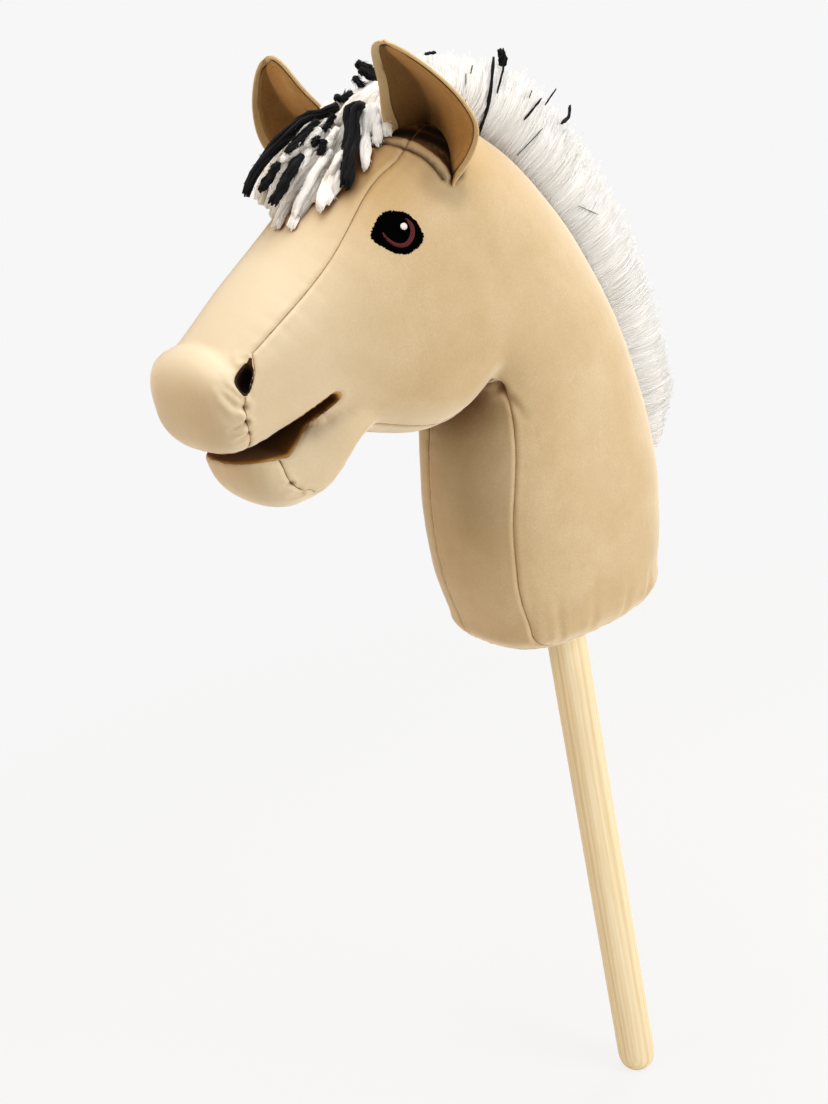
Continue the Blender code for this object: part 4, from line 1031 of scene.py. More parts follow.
# Every place moves along its own direction: out for the filling's lumps and in at grooves and gathers.
shift = np.zeros(len(places))
seam_share = np.zeros(len(places))
for index, place in enumerate(places):
    near = tree.find_n(Vector(place), 3)
    distance = near[0][2]
    shift[index] = LUMP_HEIGHT * noise.noise(Vector(place) / LUMP)
    if distance > 4 * PUCKER_REACH:
        continue
    weights = [1 / (item[2] + 0.3) for item in near]
    foot = sum((item[0] * weight for item, weight in zip(near, weights)), Vector()) / sum(weights)
    opening = at_opening[near[0][1]]
    groove = 0.0 if opening else -SEAM_DEPTH * math.exp(-((distance / SEAM_WIDTH) ** 2))
    groove -= PILLOW * math.exp(-distance / PILLOW_REACH)
    roll = SEAM_ROLL * math.exp(-(((distance - SEAM_ROLL_AT) / SEAM_ROLL_WIDTH) ** 2))
    pull = math.exp(-distance / PUCKER_REACH) * (1 - math.exp(-distance / PUCKER_RISE))
    shift[index] += groove + roll + 2 * PUCKER_HEIGHT * noise.noise(foot / PUCKER_SPACING) * pull
    seam_share[index] = 0.0 if opening else max(0.0, 1 - distance / SEAM_MARK)
mirrored = np.hstack([np.abs(places[:, :1]), places[:, 1:]])
# Painted shade near the ears' roots, stored in the shade attribute.
root_shade = np.zeros(len(places))
for strength, reach, run in EAR_SHADOWS:
    away = distance_to(mirrored, run)[0]
    root_shade = np.maximum(root_shade, strength * np.exp(-((away / reach) ** 4)))
for side, depth, width, run in FOLDS:
    seen = mirrored if side == "both" else places
    shift += fold_shift(seen, depth, width, run)
normals = np.array([v.normal for v in built.verts])
moved = np.array([v.co for v in built.verts]) + (normals * shift[:, None] + swelling) * MM
for vert, place in zip(built.verts, moved):
    vert.co = place

# Camel tan velour: #74481c is painted shade in the folds, #e4d7bc painted light on the nose's bridge and
# underside, and #b18f5c painted shade on the forehead.
velour = gathered_velour(
    "brushed_velour", ("#d5c09d", "#cab28b", "#c0a67b"), "#a28050", "#74481c", "#e4d7bc", forehead_shade_tone="#b18f5c"
)
# The mouth's lining is the same velour as the outside, painted darker and browner as painted shade for the
# inside of the mouth; #65401a is painted shade in its folds.
lining_velour = gathered_velour(
    "lining_velour", ("#c99d5f", "#bd9051", "#af8144"), "#a07c4d", "#65401a", "#b98944",
    sheen=0.15, reach=40.0,
)
# The nostrils' linings are painted near black, as painted shade for the dark inside of the pockets.
painted_shade_nostril_lining = gathered_velour(
    "nostril_lining_velour", ("#4a301a", "#3a2412", "#2a180b"), "#2a180b", "#0d0603", "#3a2412", sheen=0.05
)
PANEL_FINISH = {"mouth_lining": lining_velour, "left_nostril_lining": painted_shade_nostril_lining,
                "right_nostril_lining": painted_shade_nostril_lining}
# Each panel is a piece of its own, cut from the one skin, so their edges meet in the seams.
for number, (name, _) in enumerate(PANELS, 1):
    faces = [face for face in built.faces if face[panel_layer] == number]
    order = {}
    for face in faces:
        for vert in face.verts:
            order.setdefault(vert, len(order))
    mesh = bpy.data.meshes.new(name + "_cloth")
    mesh.from_pydata([tuple(v.co) for v in order], [], [[order[v] for v in f.verts] for f in faces])
    give_attribute(mesh, "seam", [seam_share[v.index] for v in order])
    give_attribute(mesh, "shade", [root_shade[v.index] for v in order])
    cloth = new_piece(name + "_cloth", mesh)
    thickness = cloth.modifiers.new("cloth thickness", "SOLIDIFY")
    thickness.thickness = CLOTH
    thickness.offset = -1.0
    # Beside the mouth and the nostrils the edge is turned in and pressed thin.
    group = cloth.vertex_groups.new(name="thickness")
    for vert, number_in_cloth in order.items():
        away = edge_tree.find(Vector(places[vert.index]))[2]
        share = min(1.0, THIN_SHARE + (1 - THIN_SHARE) * away / THIN_REACH)
        group.add([number_in_cloth], share, "REPLACE")
    thickness.vertex_group = "thickness"
    slot = "mouth_lining_velour" if name in PANEL_FINISH else "tan_velour"
    fit(cloth, PANEL_FINISH.get(name, velour), slot, name)
skin_tree = BVHTree.FromBMesh(built)
built.free()
bpy.data.objects.remove(skin, do_unlink=True)


# Eyes.
# Satin-stitched straight onto the side panels: a black ground, an open crescent of dark red thread over
# it, and a small white glint. The thread lies raised on the velour and its stitches make a ragged edge.

EYE_CENTRE = (96, 263)
THREAD_RISE = 0.9
STITCH_JAG = 0.07
STITCH = 0.8
# How deep a patch of thread reaches into the skin, and its rise over the ground, in mm.
STITCH_ROOT, UPPER_RISE = 0.4, 0.7
GROUND_STITCHES, GLINT_STITCHES, DISC_STEPS = 192, 32, 8
# In the eye's own plane, in mm towards the nose and up: the edge of the ground with its middle, the
# crescent's run with its half width, and the glint.
EYE_MIDDLE = (2.4, -0.9)
EYE_EDGE = [
    (15.4, 1.7), (13.7, 4.7), (9.9, 8.4), (6.2, 11.0), (2.1, 11.3), (-2.3, 9.7), (-6.1, 7.1), (-8.9, 2.9),
    (-10.2, -2.5), (-10.2, -6.4), (-7.8, -9.6), (-3.5, -11.6), (0.6, -12.3), (5.3, -10.6), (9.0, -7.9),
    (13.8, -2.2),
]
CRESCENT = [
    (9.2, 1.8, 0.35), (8.8, -0.6, 0.6), (7.6, -3.2, 0.8), (5.6, -5.7, 0.95), (3.1, -7.2, 1.05),
    (0.3, -7.6, 1.15), (-2.7, -6.2, 1.3), (-5.0, -3.4, 1.3), (-5.8, -0.2, 1.15),
    (-5.4, 2.6, 0.85), (-4.2, 4.6, 0.4),
]
GLINT_PLACE = (-2.0, 1.2)
GLINT_RADIUS = 1.8


def rayon_thread(name, light, dark, gloss=0.4):
    """Rayon embroidery thread in satin stitch: close parallel threads with a silky gloss."""
    made, tree = blank_material(name)
    place = add(tree, "TexCoord").outputs["Object"]
    # Threads lie 0.4 mm apart, drawn here at 0.8 mm so that they show.
    stitches = add(
        tree,
        "TexWave",
        {"Vector": place, "Scale": math.pi / (10 * STITCH * MM), "Distortion": 1.5, "Detail": 1.0},
        bands_direction="Y",
    )
    tone = add(tree, "ValToRGB", {"Fac": stitches.outputs["Fac"]}, stops=[(0.2, dark), (0.8, light)])
    polish = add(tree, "MapRange", {"Value": stitches.outputs["Fac"], "To Min": 0.6, "To Max": 0.4})
    relief = add(tree, "Bump", {"Height": stitches.outputs["Fac"], "Strength": 0.6, "Distance": 0.3 * MM})
    shader = add(
        tree,
        "BsdfPrincipled",
        {"Base Color": tone.outputs["Color"], "Roughness": polish.outputs["Result"],
         "Normal": relief.outputs["Normal"], "Specular IOR Level": gloss},
    )
    add(tree, "OutputMaterial", {"Surface": shader.outputs["BSDF"]})
    return made


def eye_outline(angle):
    """The ground's edge from its middle, in mm; angle runs from the front over the top."""
    place = angle / (2 * math.pi) * len(EYE_EDGE)
    index = int(place)
    four = [np.array(EYE_EDGE[(index + k) % len(EYE_EDGE)]) for k in (-1, 0, 1, 2)]
    return curve_between(*four, place - index) - EYE_MIDDLE


def stitched_patch(name, rows, lift, rise, side):
    """A low pad of thread on the skin. Rows of (u, v, height share) points run across it."""
    normal = eye_normal
    points = []
    for layer in (0, 1):
        for row in rows:
            for u, v, full in row:
                start = eye_middle + (eye_across * u + eye_upward * v) * MM + normal * 0.05
                hit = skin_tree.ray_cast(start, -normal)[0]
                place = hit + normal * (lift + (rise * full if layer else -STITCH_ROOT)) * MM
                points.append((place.x * side, place.y, place.z))
    width, count = len(rows[0]), len(rows) * len(rows[0])
    faces = []
    for i in range(len(rows) - 1):
        for j in range(width - 1):
            a = i * width + j
            faces.append((a, a + 1, a + width + 1, a + width))
            faces.append((count + a, count + a + width, count + a + width + 1, count + a + 1))
    edge = list(range(width)) + [i * width + width - 1 for i in range(1, len(rows))]
    edge += [(len(rows) - 1) * width + j for j in range(width - 2, -1, -1)]
    edge += [i * width for i in range(len(rows) - 2, 0, -1)]
    for a, b in zip(edge, edge[1:] + edge[:1]):
        faces.append((a, count + a, count + b, b))
    return closed_piece(name, points, faces, weld=0.01 * MM)


def disc_rows(edge, centre, count, seed, jag=STITCH_JAG):
    """Rows of a disc, from its middle to its edge and round, with stitches that end unevenly."""
    rows = []
    for i in range(count + 1):
        angle = 2 * math.pi * (i % count) / count
        u, v = edge(angle)
        reach = 1 + jag * noise.noise(Vector((seed, 30 * math.cos(angle), 30 * math.sin(angle))))
        row = []
        for step in range(DISC_STEPS + 1):
            share = step / DISC_STEPS
            row.append((centre[0] + u * share * reach, centre[1] + v * share * reach, 1 - share**5))
        rows.append(row)
    return rows


def crescent_rows():
    """Rows across the crescent, along its run."""
    run = np.array(smooth_rows(CRESCENT, 5))
    ahead = np.gradient(run[:, :2], axis=0)
    ahead /= np.linalg.norm(ahead, axis=1)[:, None]
    rows = []
    for number, ((u, v, half), (du, dv)) in enumerate(zip(run, ahead)):
        half += 0.12 * noise.noise(Vector((number * 0.9, 3.1, 0.0)))
        shares = [-1 + 2 * j / 6 for j in range(7)]
        row = [(u - dv * half * share, v + du * half * share, 1 - abs(share) ** 4) for share in shares]
        rows.append(row)
    return rows


eye_middle, eye_normal = skin_tree.ray_cast(at(120, *EYE_CENTRE), Vector((-1, 0, 0)))[:2]
eye_across = (Vector((0, -1, 0)) - eye_normal * -eye_normal.y).normalized()
eye_upward = eye_normal.cross(eye_across)
eye_upward = eye_upward if eye_upward.z > 0 else -eye_upward
black_thread = rayon_thread("black_rayon_thread", "#060505", "#010101", 0.0)
red_thread = rayon_thread("red_rayon_thread", "#64272e", "#3f1519", 0.1)
white_thread = rayon_thread("white_rayon_thread", "#f6f3f0", "#d9d4d0")


def glint_edge(angle):
    """The glint's edge from its middle, in mm."""
    return GLINT_RADIUS * math.cos(angle), GLINT_RADIUS * math.sin(angle)


ground_rows = disc_rows(eye_outline, EYE_MIDDLE, GROUND_STITCHES, 1.5)
glint_rows = disc_rows(glint_edge, GLINT_PLACE, GLINT_STITCHES, 4.5, 0.02)
for side, prefix in ((1, "left"), (-1, "right")):
    for part, rows, lift, rise, finish, slot in (
        ("ground", ground_rows, 0.0, THREAD_RISE, black_thread, "black_thread"),
        ("iris", crescent_rows(), THREAD_RISE, UPPER_RISE, red_thread, "red_thread"),
        ("glint", glint_rows, THREAD_RISE, UPPER_RISE, white_thread, "white_thread"),
    ):
        stitched = stitched_patch(f"{prefix}_eye_{part}_stitches", rows, lift, rise, side)
        fit(stitched, finish, slot, f"{prefix}_eye_{part}")


# Ears.
# Each ear is an outer leaf of the camel velour and a darker lining, sewn round the edge, turned and top
# stitched, then folded into a deep cup and caught in the seam at the side of the poll.

EAR_CLOTH, EAR_RIM, EAR_LINING_GAP = 1.6, 3.0, 0.3
# The leaf's root below its base in mm, its widest place, and how it narrows to its tip.
EAR_ROOT, EAR_WIDEST_AT, EAR_NARROWING, EAR_TIP_BLUNTNESS = 10, 0.40, 1.5, 1.6
# The cup's depth in mm, how it opens towards the tip, and how sharply it is folded.
EAR_CUP, EAR_FLATTENING = 22, 1.4
EAR_FOLD, EAR_ROOT_FOLD, EAR_CREASE_ROUND = 1.15, 1.8, 0.07
EAR_CURL, EAR_CURL_HEIGHT = 3, 0.35
EAR_ROWS, EAR_COLUMNS = 33, 29
# Places are half width, forward and height in mm, as for the left ear.
# crease is where each lining folds; light_side and dark say which side of it gets painted shade, and how
# much.
EARS = {
    "left": {
        "base": (37.5, 67, 293),
        "tip": (50.5, 85, 352.5),
        "root_half": (14.5, -8, -14),
        "half_width": 30,
        "facing": 24.0,
        "droop": 0.25,
        "bow": (7, -8, 0),
        "crease": -0.38,
        "light_side": 1,
        "dark": 0.55,
    },
    "right": {
        "base": (37.5, 72, 293),
        "tip": (51, 95, 352),
        "root_half": (14.5, -6, -12),
        "half_width": 32,
        "facing": -14.0,
        "droop": 0.10,
        "bow": (11, 6, 0),
        "crease": 0.3,
        "light_side": -1,
        "dark": 0.4,
    },
}


def step_of(x, forward, height):
    """World vector of a step in the outline's directions, all in mm."""
    return Vector((x, -forward, height)) * MM


def ear_surface(ear, share, margin):
    """A row of the folded leaf at a share of its height, short of its edges by margin.

    Gives its places, their shares of its width, their distances to the edge, and where the cup faces.
    """
    base, tip, bow = at(*ear["base"]), at(*ear["tip"]), step_of(*ear["bow"])
    root_half, rise = step_of(*ear["root_half"]), tip - base
    angle = math.radians(ear["facing"])
    leaf = Vector((math.cos(angle), math.sin(angle), 0))
    leaf = (leaf - rise * (leaf.dot(rise) / rise.dot(rise))).normalized() - Vector((0, 0, ear["droop"]))
    facing = leaf.cross(rise).normalized()
    grown = max(0.0, share)
    spread = math.sin(math.pi / 2 * min(1.0, grown / EAR_WIDEST_AT))
    reach = root_half * (1 - spread) + leaf * (ear["half_width"] * MM * spread)
    narrow = max(reach.length * math.sqrt(1 - grown**EAR_NARROWING), EAR_TIP_BLUNTNESS * MM)
    half = reach.normalized() * narrow
    cup = EAR_CUP * (1 - grown**EAR_FLATTENING) + EAR_TIP_BLUNTNESS
    middle = base + rise * share + bow * math.sin(math.pi * grown**0.8)
    curl = EAR_CURL * max(0.0, 1 - grown / EAR_CURL_HEIGHT) ** 1.5
    fold = EAR_ROOT_FOLD + (EAR_FOLD - EAR_ROOT_FOLD) * min(1.0, grown / 0.45)
    widest = max(0.15, 1 - margin * MM / half.length)
    places, shares, edges = [], [], []
    for column in range(EAR_COLUMNS):
        across = widest * (-1 + 2 * column / (EAR_COLUMNS - 1))
        off = across - ear["crease"]
        off = off / (1 - ear["crease"]) if off > 0 else off / (1 + ear["crease"])
        off = math.hypot(off, EAR_CREASE_ROUND)
        depth = cup * (1 - min(1.0, off) ** fold) - curl * across * across
        places.append(middle + half * across - facing * depth * MM)
        shares.append(across)
        edges.append(min((1 - abs(across)) * half.length, (1 - share) * rise.length) / MM)
    return places, shares, edges, facing


def ear_leaf(name, ear, lift, margin, turned_in, side):
    """A leaf-shaped sheet folded into a cup: lift moves it in, and margin keeps it off the edge."""
    height = (at(*ear["tip"]) - at(*ear["base"])).length / MM
    start, stop = -EAR_ROOT / height, 1 - margin / height
    heights = [start + (stop - start) * k / (EAR_ROWS - 1) for k in range(EAR_ROWS)]
    rows = [ear_surface(ear, share, margin) for share in heights]
    grid = np.array([[tuple(p) for p in row[0]] for row in rows])
    normals = np.cross(np.gradient(grid, axis=1), np.gradient(grid, axis=0))
    normals /= np.linalg.norm(normals, axis=2, keepdims=True) + 1e-12
    normals *= np.sign(normals @ np.array(rows[0][3]))[:, :, None]
    across, from_edge = (np.array([row[k] for row in rows]) for k in (1, 2))
    from_edge = from_edge - margin
    rolled = turned_in * np.exp(-((from_edge / 1.2) ** 2))
    sunk = -0.3 * np.exp(-(((from_edge - EAR_RIM) / 0.7) ** 2)) if margin else 0.0
    grid = grid + normals * ((lift + rolled + sunk) * MM)[:, :, None]
    points = (grid * (side, 1, 1)).reshape(-1, 3).tolist()
    seam = np.exp(-(((from_edge - EAR_RIM) / 0.45) ** 2)).ravel() * (0.8 if margin else 1.0)
    # Painted shade on one side of the lining's fold; the outer leaf gets none.
    turned = np.clip((across - ear["crease"]) * ear["light_side"] * 40, -40, 40)
    shades = (ear["dark"] / (1 + np.exp(turned)) if margin else np.zeros_like(across)).ravel()
    faces = []
    for row in range(EAR_ROWS - 1):
        for column in range(EAR_COLUMNS - 1):
            a = row * EAR_COLUMNS + column
            quad = (a, a + 1, a + EAR_COLUMNS + 1, a + EAR_COLUMNS)
            faces.append(quad if side > 0 else quad[::-1])
    mesh = bpy.data.meshes.new(name)
    mesh.from_pydata(points, [], faces)
    give_attribute(mesh, "seam", seam)
    give_attribute(mesh, "shade", shades)
    return new_piece(name, mesh)


# Both ear cloths get painted shade in their folds from ambient occlusion, and painted light on their
# downward faces.
ear_back = gathered_velour(
    "ear_velour", ("#d8c095", "#ceb384", "#c4a673"), "#8a683c", "#a9824c", "#d8c8a8", sheen=0.8, reach=12.0
)
ear_velour = gathered_velour(
    "ear_lining_velour", ("#c29a62", "#ae844d", "#94693a"), "#5f4222", "#30200e", "#a67c47",
    sheen=0.1, reach=16.0,
)
for side, prefix in ((1, "left"), (-1, "right")):
    for part, lift, margin, turned_in, finish, slot in (
        ("outer", 0.0, 0.0, 0.7, ear_back, "tan_velour"),
        ("lining", EAR_CLOTH + EAR_LINING_GAP, EAR_RIM, -1.3, ear_velour, "ear_lining_velour"),
    ):
        leaf = ear_leaf(f"{prefix}_ear_{part}_cloth", EARS[prefix], lift, margin, turned_in, side)
        thickness = leaf.modifiers.new("cloth thickness", "SOLIDIFY")
        thickness.thickness = EAR_CLOTH * MM
        thickness.offset = -1.0
        fullness = leaf.modifiers.new("fullness", "SUBSURF")
        fullness.levels = 1
        fullness.render_levels = 1
        fit(leaf, finish, slot, f"{prefix}_ear_{part}")


# Mane.
# Fine white yarn knotted on a velour tape along the crest and brushed up into a dense brush, with a few
# locks of black yarn among it. The ends are cut by hand in a ragged line.

MANE_TAPE_WIDTH, MANE_LENGTH, MANE_SPREAD = 14, 49, 28
# Its start and end as shares of the crest, and its length there as shares of its longest.
MANE_START, MANE_END = 0.349, 0.88
MANE_POLL_SHARE, MANE_NECK_SHARE = 0.55, 0.82
# The loose strands, and the close inside of the brush that they lie over.
MANE_STRANDS, MANE_YARN, MANE_KNOTS, MANE_SIDES = 7600, 0.62, 6, 3
CORE_RINGS, CORE_STEPS, CORE_LENGTH, CORE_WIDTH = 320, 11, 0.84, 0.86
BLACK_KNOTS, BLACK_SIDES = 10, 5
CREST_POINTS = 400
TAPE_POINTS, TAPE_BELOW, TAPE_ABOVE, TAPE_BEVEL = 90, 0.4, 1.6, 0.8
GOLDEN_ANGLE = 2.399963
YARN_SHARE_PASSED = 0.75
# Black yarn among the white: radius in mm, strands, then the places it runs through.
BLACK_STRANDS = [
    (1.05, 9, [(6.5, 7.5, 291), (9.5, 4.5, 298), (11.5, 1.5, 304.5), (12, -3, 315), (7.5, -10, 325.5),
               (6, -12.5, 329.5)]),
    (0.7, 6, [(12.5, -6, 311.5), (10.5, -11, 317.5), (7, -17, 323), (6, -18, 328)]),
    (2.5, 24, [(6, -17.5, 324), (6, -18.5, 328.5), (6, -18, 332)]),
    (0.7, 5, [(12.5, -21, 294), (12, -28, 298), (9.5, -37.5, 302.5)]),
    (0.45, 4, [(11, -28, 304.5), (9.5, -32, 308)]),
    (0.6, 5, [(10, -39, 298.5), (7, -45.5, 301.5), (6, -51.5, 305)]),
    (1.1, 9, [(9.5, -49, 286.5), (6.5, -57, 288.5), (6, -59.5, 294.5)]),
    (0.4, 3, [(9, -15, 276), (11.5, -23.5, 281.5), (12.5, -33, 287)]),
    (0.4, 3, [(10.5, 14.5, 309.5), (11, 11, 325.5)]),
    (0.5, 3, [(11, 8, 324.5), (9, 4.5, 328.5)]),
    (1.0, 7, [(6, 24.5, 339), (6, 31.5, 339.5)]),
    (0.35, 2, [(11.5, -50, 240), (12.5, -62.5, 232)]),
]
# The knot of black yarn at each of the three places where it was caught in the tape.
BLACK_GROUPS = [(0, 1, 2, 8, 9, 10), (3, 4, 7, 11), (5, 6)]


def crest_line(count):
    """Points along the crest with their outward directions, from the poll to the lower neck."""
    tops = np.array([row[0:2] for row in smooth_rows(HEAD_SECTIONS, 12)])
    steps = np.linalg.norm(np.diff(tops, axis=0), axis=1)
    along = np.concatenate([[0], np.cumsum(steps)]) / steps.sum()
    shares = MANE_START + (MANE_END - MANE_START) * np.linspace(0, 1, count)

    def crest(share):
        return np.column_stack([np.interp(share, along, tops[:, k]) for k in (0, 1)])

    run = crest(shares + 0.01) - crest(shares - 0.01)
    outward = np.column_stack([run[:, 1], -run[:, 0]])
    return crest(shares), outward / np.linalg.norm(outward, axis=1)[:, None]


def mane_fullness(share):
    """The yarn's length along the mane as a share: longest over the crest, tapering at its lower end."""
    start = np.minimum(1.0, MANE_POLL_SHARE + (1 - MANE_POLL_SHARE) * share * 4.5)
    neck = 1 - (1 - MANE_NECK_SHARE) * np.maximum(0.0, (share - 0.3) / 0.7)
    end = np.sqrt(np.clip((1 - share) / 0.10, 0, 1) * 0.75 + 0.25)
    return start * neck * end


def yarn_body(name, paths, radii, sides):
    """Many strands of yarn as one mesh. Paths is strands by points by 3, radii strands by points."""
    strands, count = paths.shape[:2]
    run = np.gradient(paths, axis=1)
    run /= np.linalg.norm(run, axis=2, keepdims=True) + 1e-12
    other = np.where(np.abs(run[..., :1]) < 0.9, [[[1.0, 0, 0]]], [[[0, 1.0, 0]]])
    first = np.cross(run, other)
    first /= np.linalg.norm(first, axis=2, keepdims=True) + 1e-12
    second = np.cross(run, first)
    turns = 2 * np.pi * np.arange(sides) / sides
    ring = first[:, :, None] * np.cos(turns)[:, None] + second[:, :, None] * np.sin(turns)[:, None]
    points = paths[:, :, None] + ring * radii[:, :, None, None]
    index = np.arange(strands * count * sides).reshape(strands, count, sides)
    low, high = index[:, :-1], index[:, 1:]
    quads = np.stack([low, np.roll(low, -1, 2), np.roll(high, -1, 2), high], -1).reshape(-1, 4)
    ends = np.concatenate([index[:, 0, ::-1], index[:, -1]])
    mesh = bpy.data.meshes.new(name)
    mesh.from_pydata(points.reshape(-1, 3), [], quads.tolist() + ends.tolist())
    return mesh


def brushed_yarn(name, stops, fuzz, fuzz_share, dull, rise, sheen, gloss, passes_light=False):
    """Brushed acrylic yarn: soft and dull, with fuzz that catches the light on single fibres.

    fuzz is its size in mm and its detail, dull the range of its roughness, and rise the strength and the
    height in mm of its relief. In white yarn light passes from strand to strand, so it stays white inside.
    """
    made, tree = blank_material(name)
    strand = add(tree, "Attribute", attribute_name="strand")
    place = add(tree, "TexCoord").outputs["Object"]
    fuzz = add(tree, "TexNoise", {"Vector": place, "Scale": 1 / (fuzz[0] * MM), "Detail": fuzz[1]})
    both = add(tree, "Mix", {"Factor": fuzz_share, "A": strand.outputs["Fac"], "B": fuzz.outputs["Fac"]})
    tone = add(tree, "ValToRGB", {"Fac": both.outputs["Result"]}, stops=stops)
    dullness = add(tree, "MapRange", {"Value": fuzz.outputs["Fac"], "To Min": dull[0], "To Max": dull[1]})
    standing = {"Height": fuzz.outputs["Fac"], "Strength": rise[0], "Distance": rise[1] * MM}
    relief = add(tree, "Bump", standing)
    shader = add(
        tree,
        "BsdfPrincipled",
        {"Base Color": tone.outputs["Color"], "Roughness": dullness.outputs["Result"],
         "Normal": relief.outputs["Normal"], "Sheen Weight": sheen, "Specular IOR Level": gloss},
    )
    if passes_light:
        glow = {"Color": tone.outputs["Color"], "Normal": relief.outputs["Normal"]}
        through = add(tree, "BsdfTranslucent", glow)
        mixed = add(tree, "MixShader", {0: 0.35, 1: shader.outputs[0], 2: through.outputs[0]})
        # Strands this thin scatter light onwards, so only part of it is stopped by each.
        shadow = add(tree, "LightPath").outputs["Is Shadow Ray"]
        passing = add(tree, "Math", {0: shadow, 1: YARN_SHARE_PASSED}, operation="MULTIPLY")
        clear = add(tree, "BsdfTransparent")
        shader = add(tree, "MixShader", {0: passing.outputs[0], 1: mixed.outputs[0], 2: clear.outputs[0]})
    add(tree, "OutputMaterial", {"Surface": shader.outputs[0]})
    return made


def brush_half(share):
    """Half width of the brush in mm at a share of its strands' length."""
    fan = MANE_TAPE_WIDTH / 2 * 0.85 + (MANE_SPREAD - MANE_TAPE_WIDTH) / 2 * math.sin(math.pi * share * 0.8)
    return fan * (1 - 0.45 * share**3)


def mane_strands(shares, across, tilts, lengths, draw):
    """Paths of strands that stand off the crest: across is each root's place on the tape, from -1 to 1."""
    centres, outward = crest_line(CREST_POINTS)
    pick = np.clip(shares * (CREST_POINTS - 1), 0, CREST_POINTS - 1)
    low = pick.astype(int).clip(0, CREST_POINTS - 2)
    part = (pick - low)[:, None]
    centre = centres[low] * (1 - part) + centres[low + 1] * part
    up = outward[low] * (1 - part) + outward[low + 1] * part
    along = np.column_stack([up[:, 1], -up[:, 0]])
    bend = draw.normal(0, 1.0, (len(shares), 2))
    paths = np.zeros((len(shares), MANE_KNOTS, 3))
    for k, share in enumerate(np.linspace(0, 1, MANE_KNOTS)):
        reach = lengths * share
        x = across * brush_half(share) + bend[:, 0] * 0.9 * share**2
        leaning = tilts * reach + bend[:, 1] * 0.7 * share**2
        side = centre + up * (1.5 + reach)[:, None] + along * leaning[:, None]
        paths[:, k] = np.column_stack([x * MM, -side[:, 0] * MM, NECK_HEM_HEIGHT + side[:, 1] * MM])
    return paths


def brush_core():
    """The close inside of the brush, ridged like the strands that lie over it."""
    centres, outward = crest_line(CORE_RINGS)
    lengths = MANE_LENGTH * mane_fullness(np.linspace(0, 1, CORE_RINGS)) * CORE_LENGTH
    rise = [k / (CORE_STEPS - 1) for k in range(CORE_STEPS)]
    rings = []
    for number, (centre, up, length) in enumerate(zip(centres, outward, lengths)):
        ring = []
        for side, shares in ((1, rise), (-1, rise[::-1])):
            for share in shares:
                ridge = 0.6 * noise.noise(Vector((number * 0.45, share * 1.3 + side * 9, 2.0)))
                half = brush_half(share) * CORE_WIDTH * (1 - share**6 * 0.5) + ridge
                ring.append(at(side * half, *(centre + up * (1.5 + length * share))))
        rings.append(ring)
    return closed_tube("mane_core", rings)


def joined_mesh(name, meshes):
    """One mesh of several."""
    points, faces = [], []
    for mesh in meshes:
        base = len(points)
        points += [tuple(v.co) for v in mesh.vertices]
        faces += [tuple(base + i for i in p.vertices) for p in mesh.polygons]
    made = bpy.data.meshes.new(name)
    made.from_pydata(points, [], faces)
    return made


def yarn_lock(points, radius, count, draw, knots=14, twist=0.9):
    """Strands packed round a smooth line through the points, in mm. Gives their paths and their radii."""
    rows = np.array(smooth_rows(points, 10))
    run = np.concatenate([[0], np.cumsum(np.linalg.norm(np.diff(rows, axis=0), axis=1))])
    along = np.linspace(0, 1, knots)
    line = np.column_stack([np.interp(along * run[-1], run, rows[:, k]) for k in range(3)])
    ahead = np.gradient(line, axis=0)
    ahead /= np.linalg.norm(ahead, axis=1)[:, None]
    side = np.cross(ahead, [0.35, 0.2, 1.0])
    side /= np.linalg.norm(side, axis=1)[:, None]
    upward = np.cross(side, ahead)
    strand = min(radius * 0.42, radius / math.sqrt(count) * 1.35)
    size = np.interp(along, [0, 0.15, 0.8, 1], [0.7, 1.0, 1.0, 0.75])
    paths, radii = np.zeros((count, knots, 3)), np.zeros((count, knots))
    for number in range(count):
        reach = (radius - strand) * math.sqrt((number + 0.5) / count) * 1.05
        angle = number * GOLDEN_ANGLE + twist * along * 2 + draw.uniform(-0.3, 0.3)
        wobble = 0.18 * radius * np.sin(along * draw.uniform(9, 22) + draw.uniform(0, 6))
        out = reach * size + wobble
        paths[number] = line + side * (out * np.cos(angle))[:, None]
        paths[number] += upward * (out * np.sin(angle))[:, None]
        paths[number, -1] += ahead[-1] * draw.uniform(-0.6, 0.9) * radius * 0.6
        lumps = 1 + 0.2 * np.sin(along * draw.uniform(14, 30) + draw.uniform(0, 6))
        radii[number] = strand * lumps * np.interp(along, [0, 0.1, 0.9, 1], [0.7, 1, 1, 0.5])
    height = paths[..., 2] + NECK_HEM_HEIGHT / MM
    return np.stack([paths[..., 0], -paths[..., 1], height], -1) * MM, radii * MM


def tapered(strands, knots, radius, tip=0.45):
    """Radii of strands that thin out towards their tips."""
    row = np.interp(np.linspace(0, 1, knots), [0, 0.6, 1], [1, 0.9, tip])
    return np.tile(radius * MM * row, (strands, 1))


def yarn_piece(name, mesh, values, finish, slot, node):
    """A piece of yarn, with a shade for each of its strands."""
    give_attribute(mesh, "strand", values)
    fit(new_piece(name, mesh), finish, slot, node)


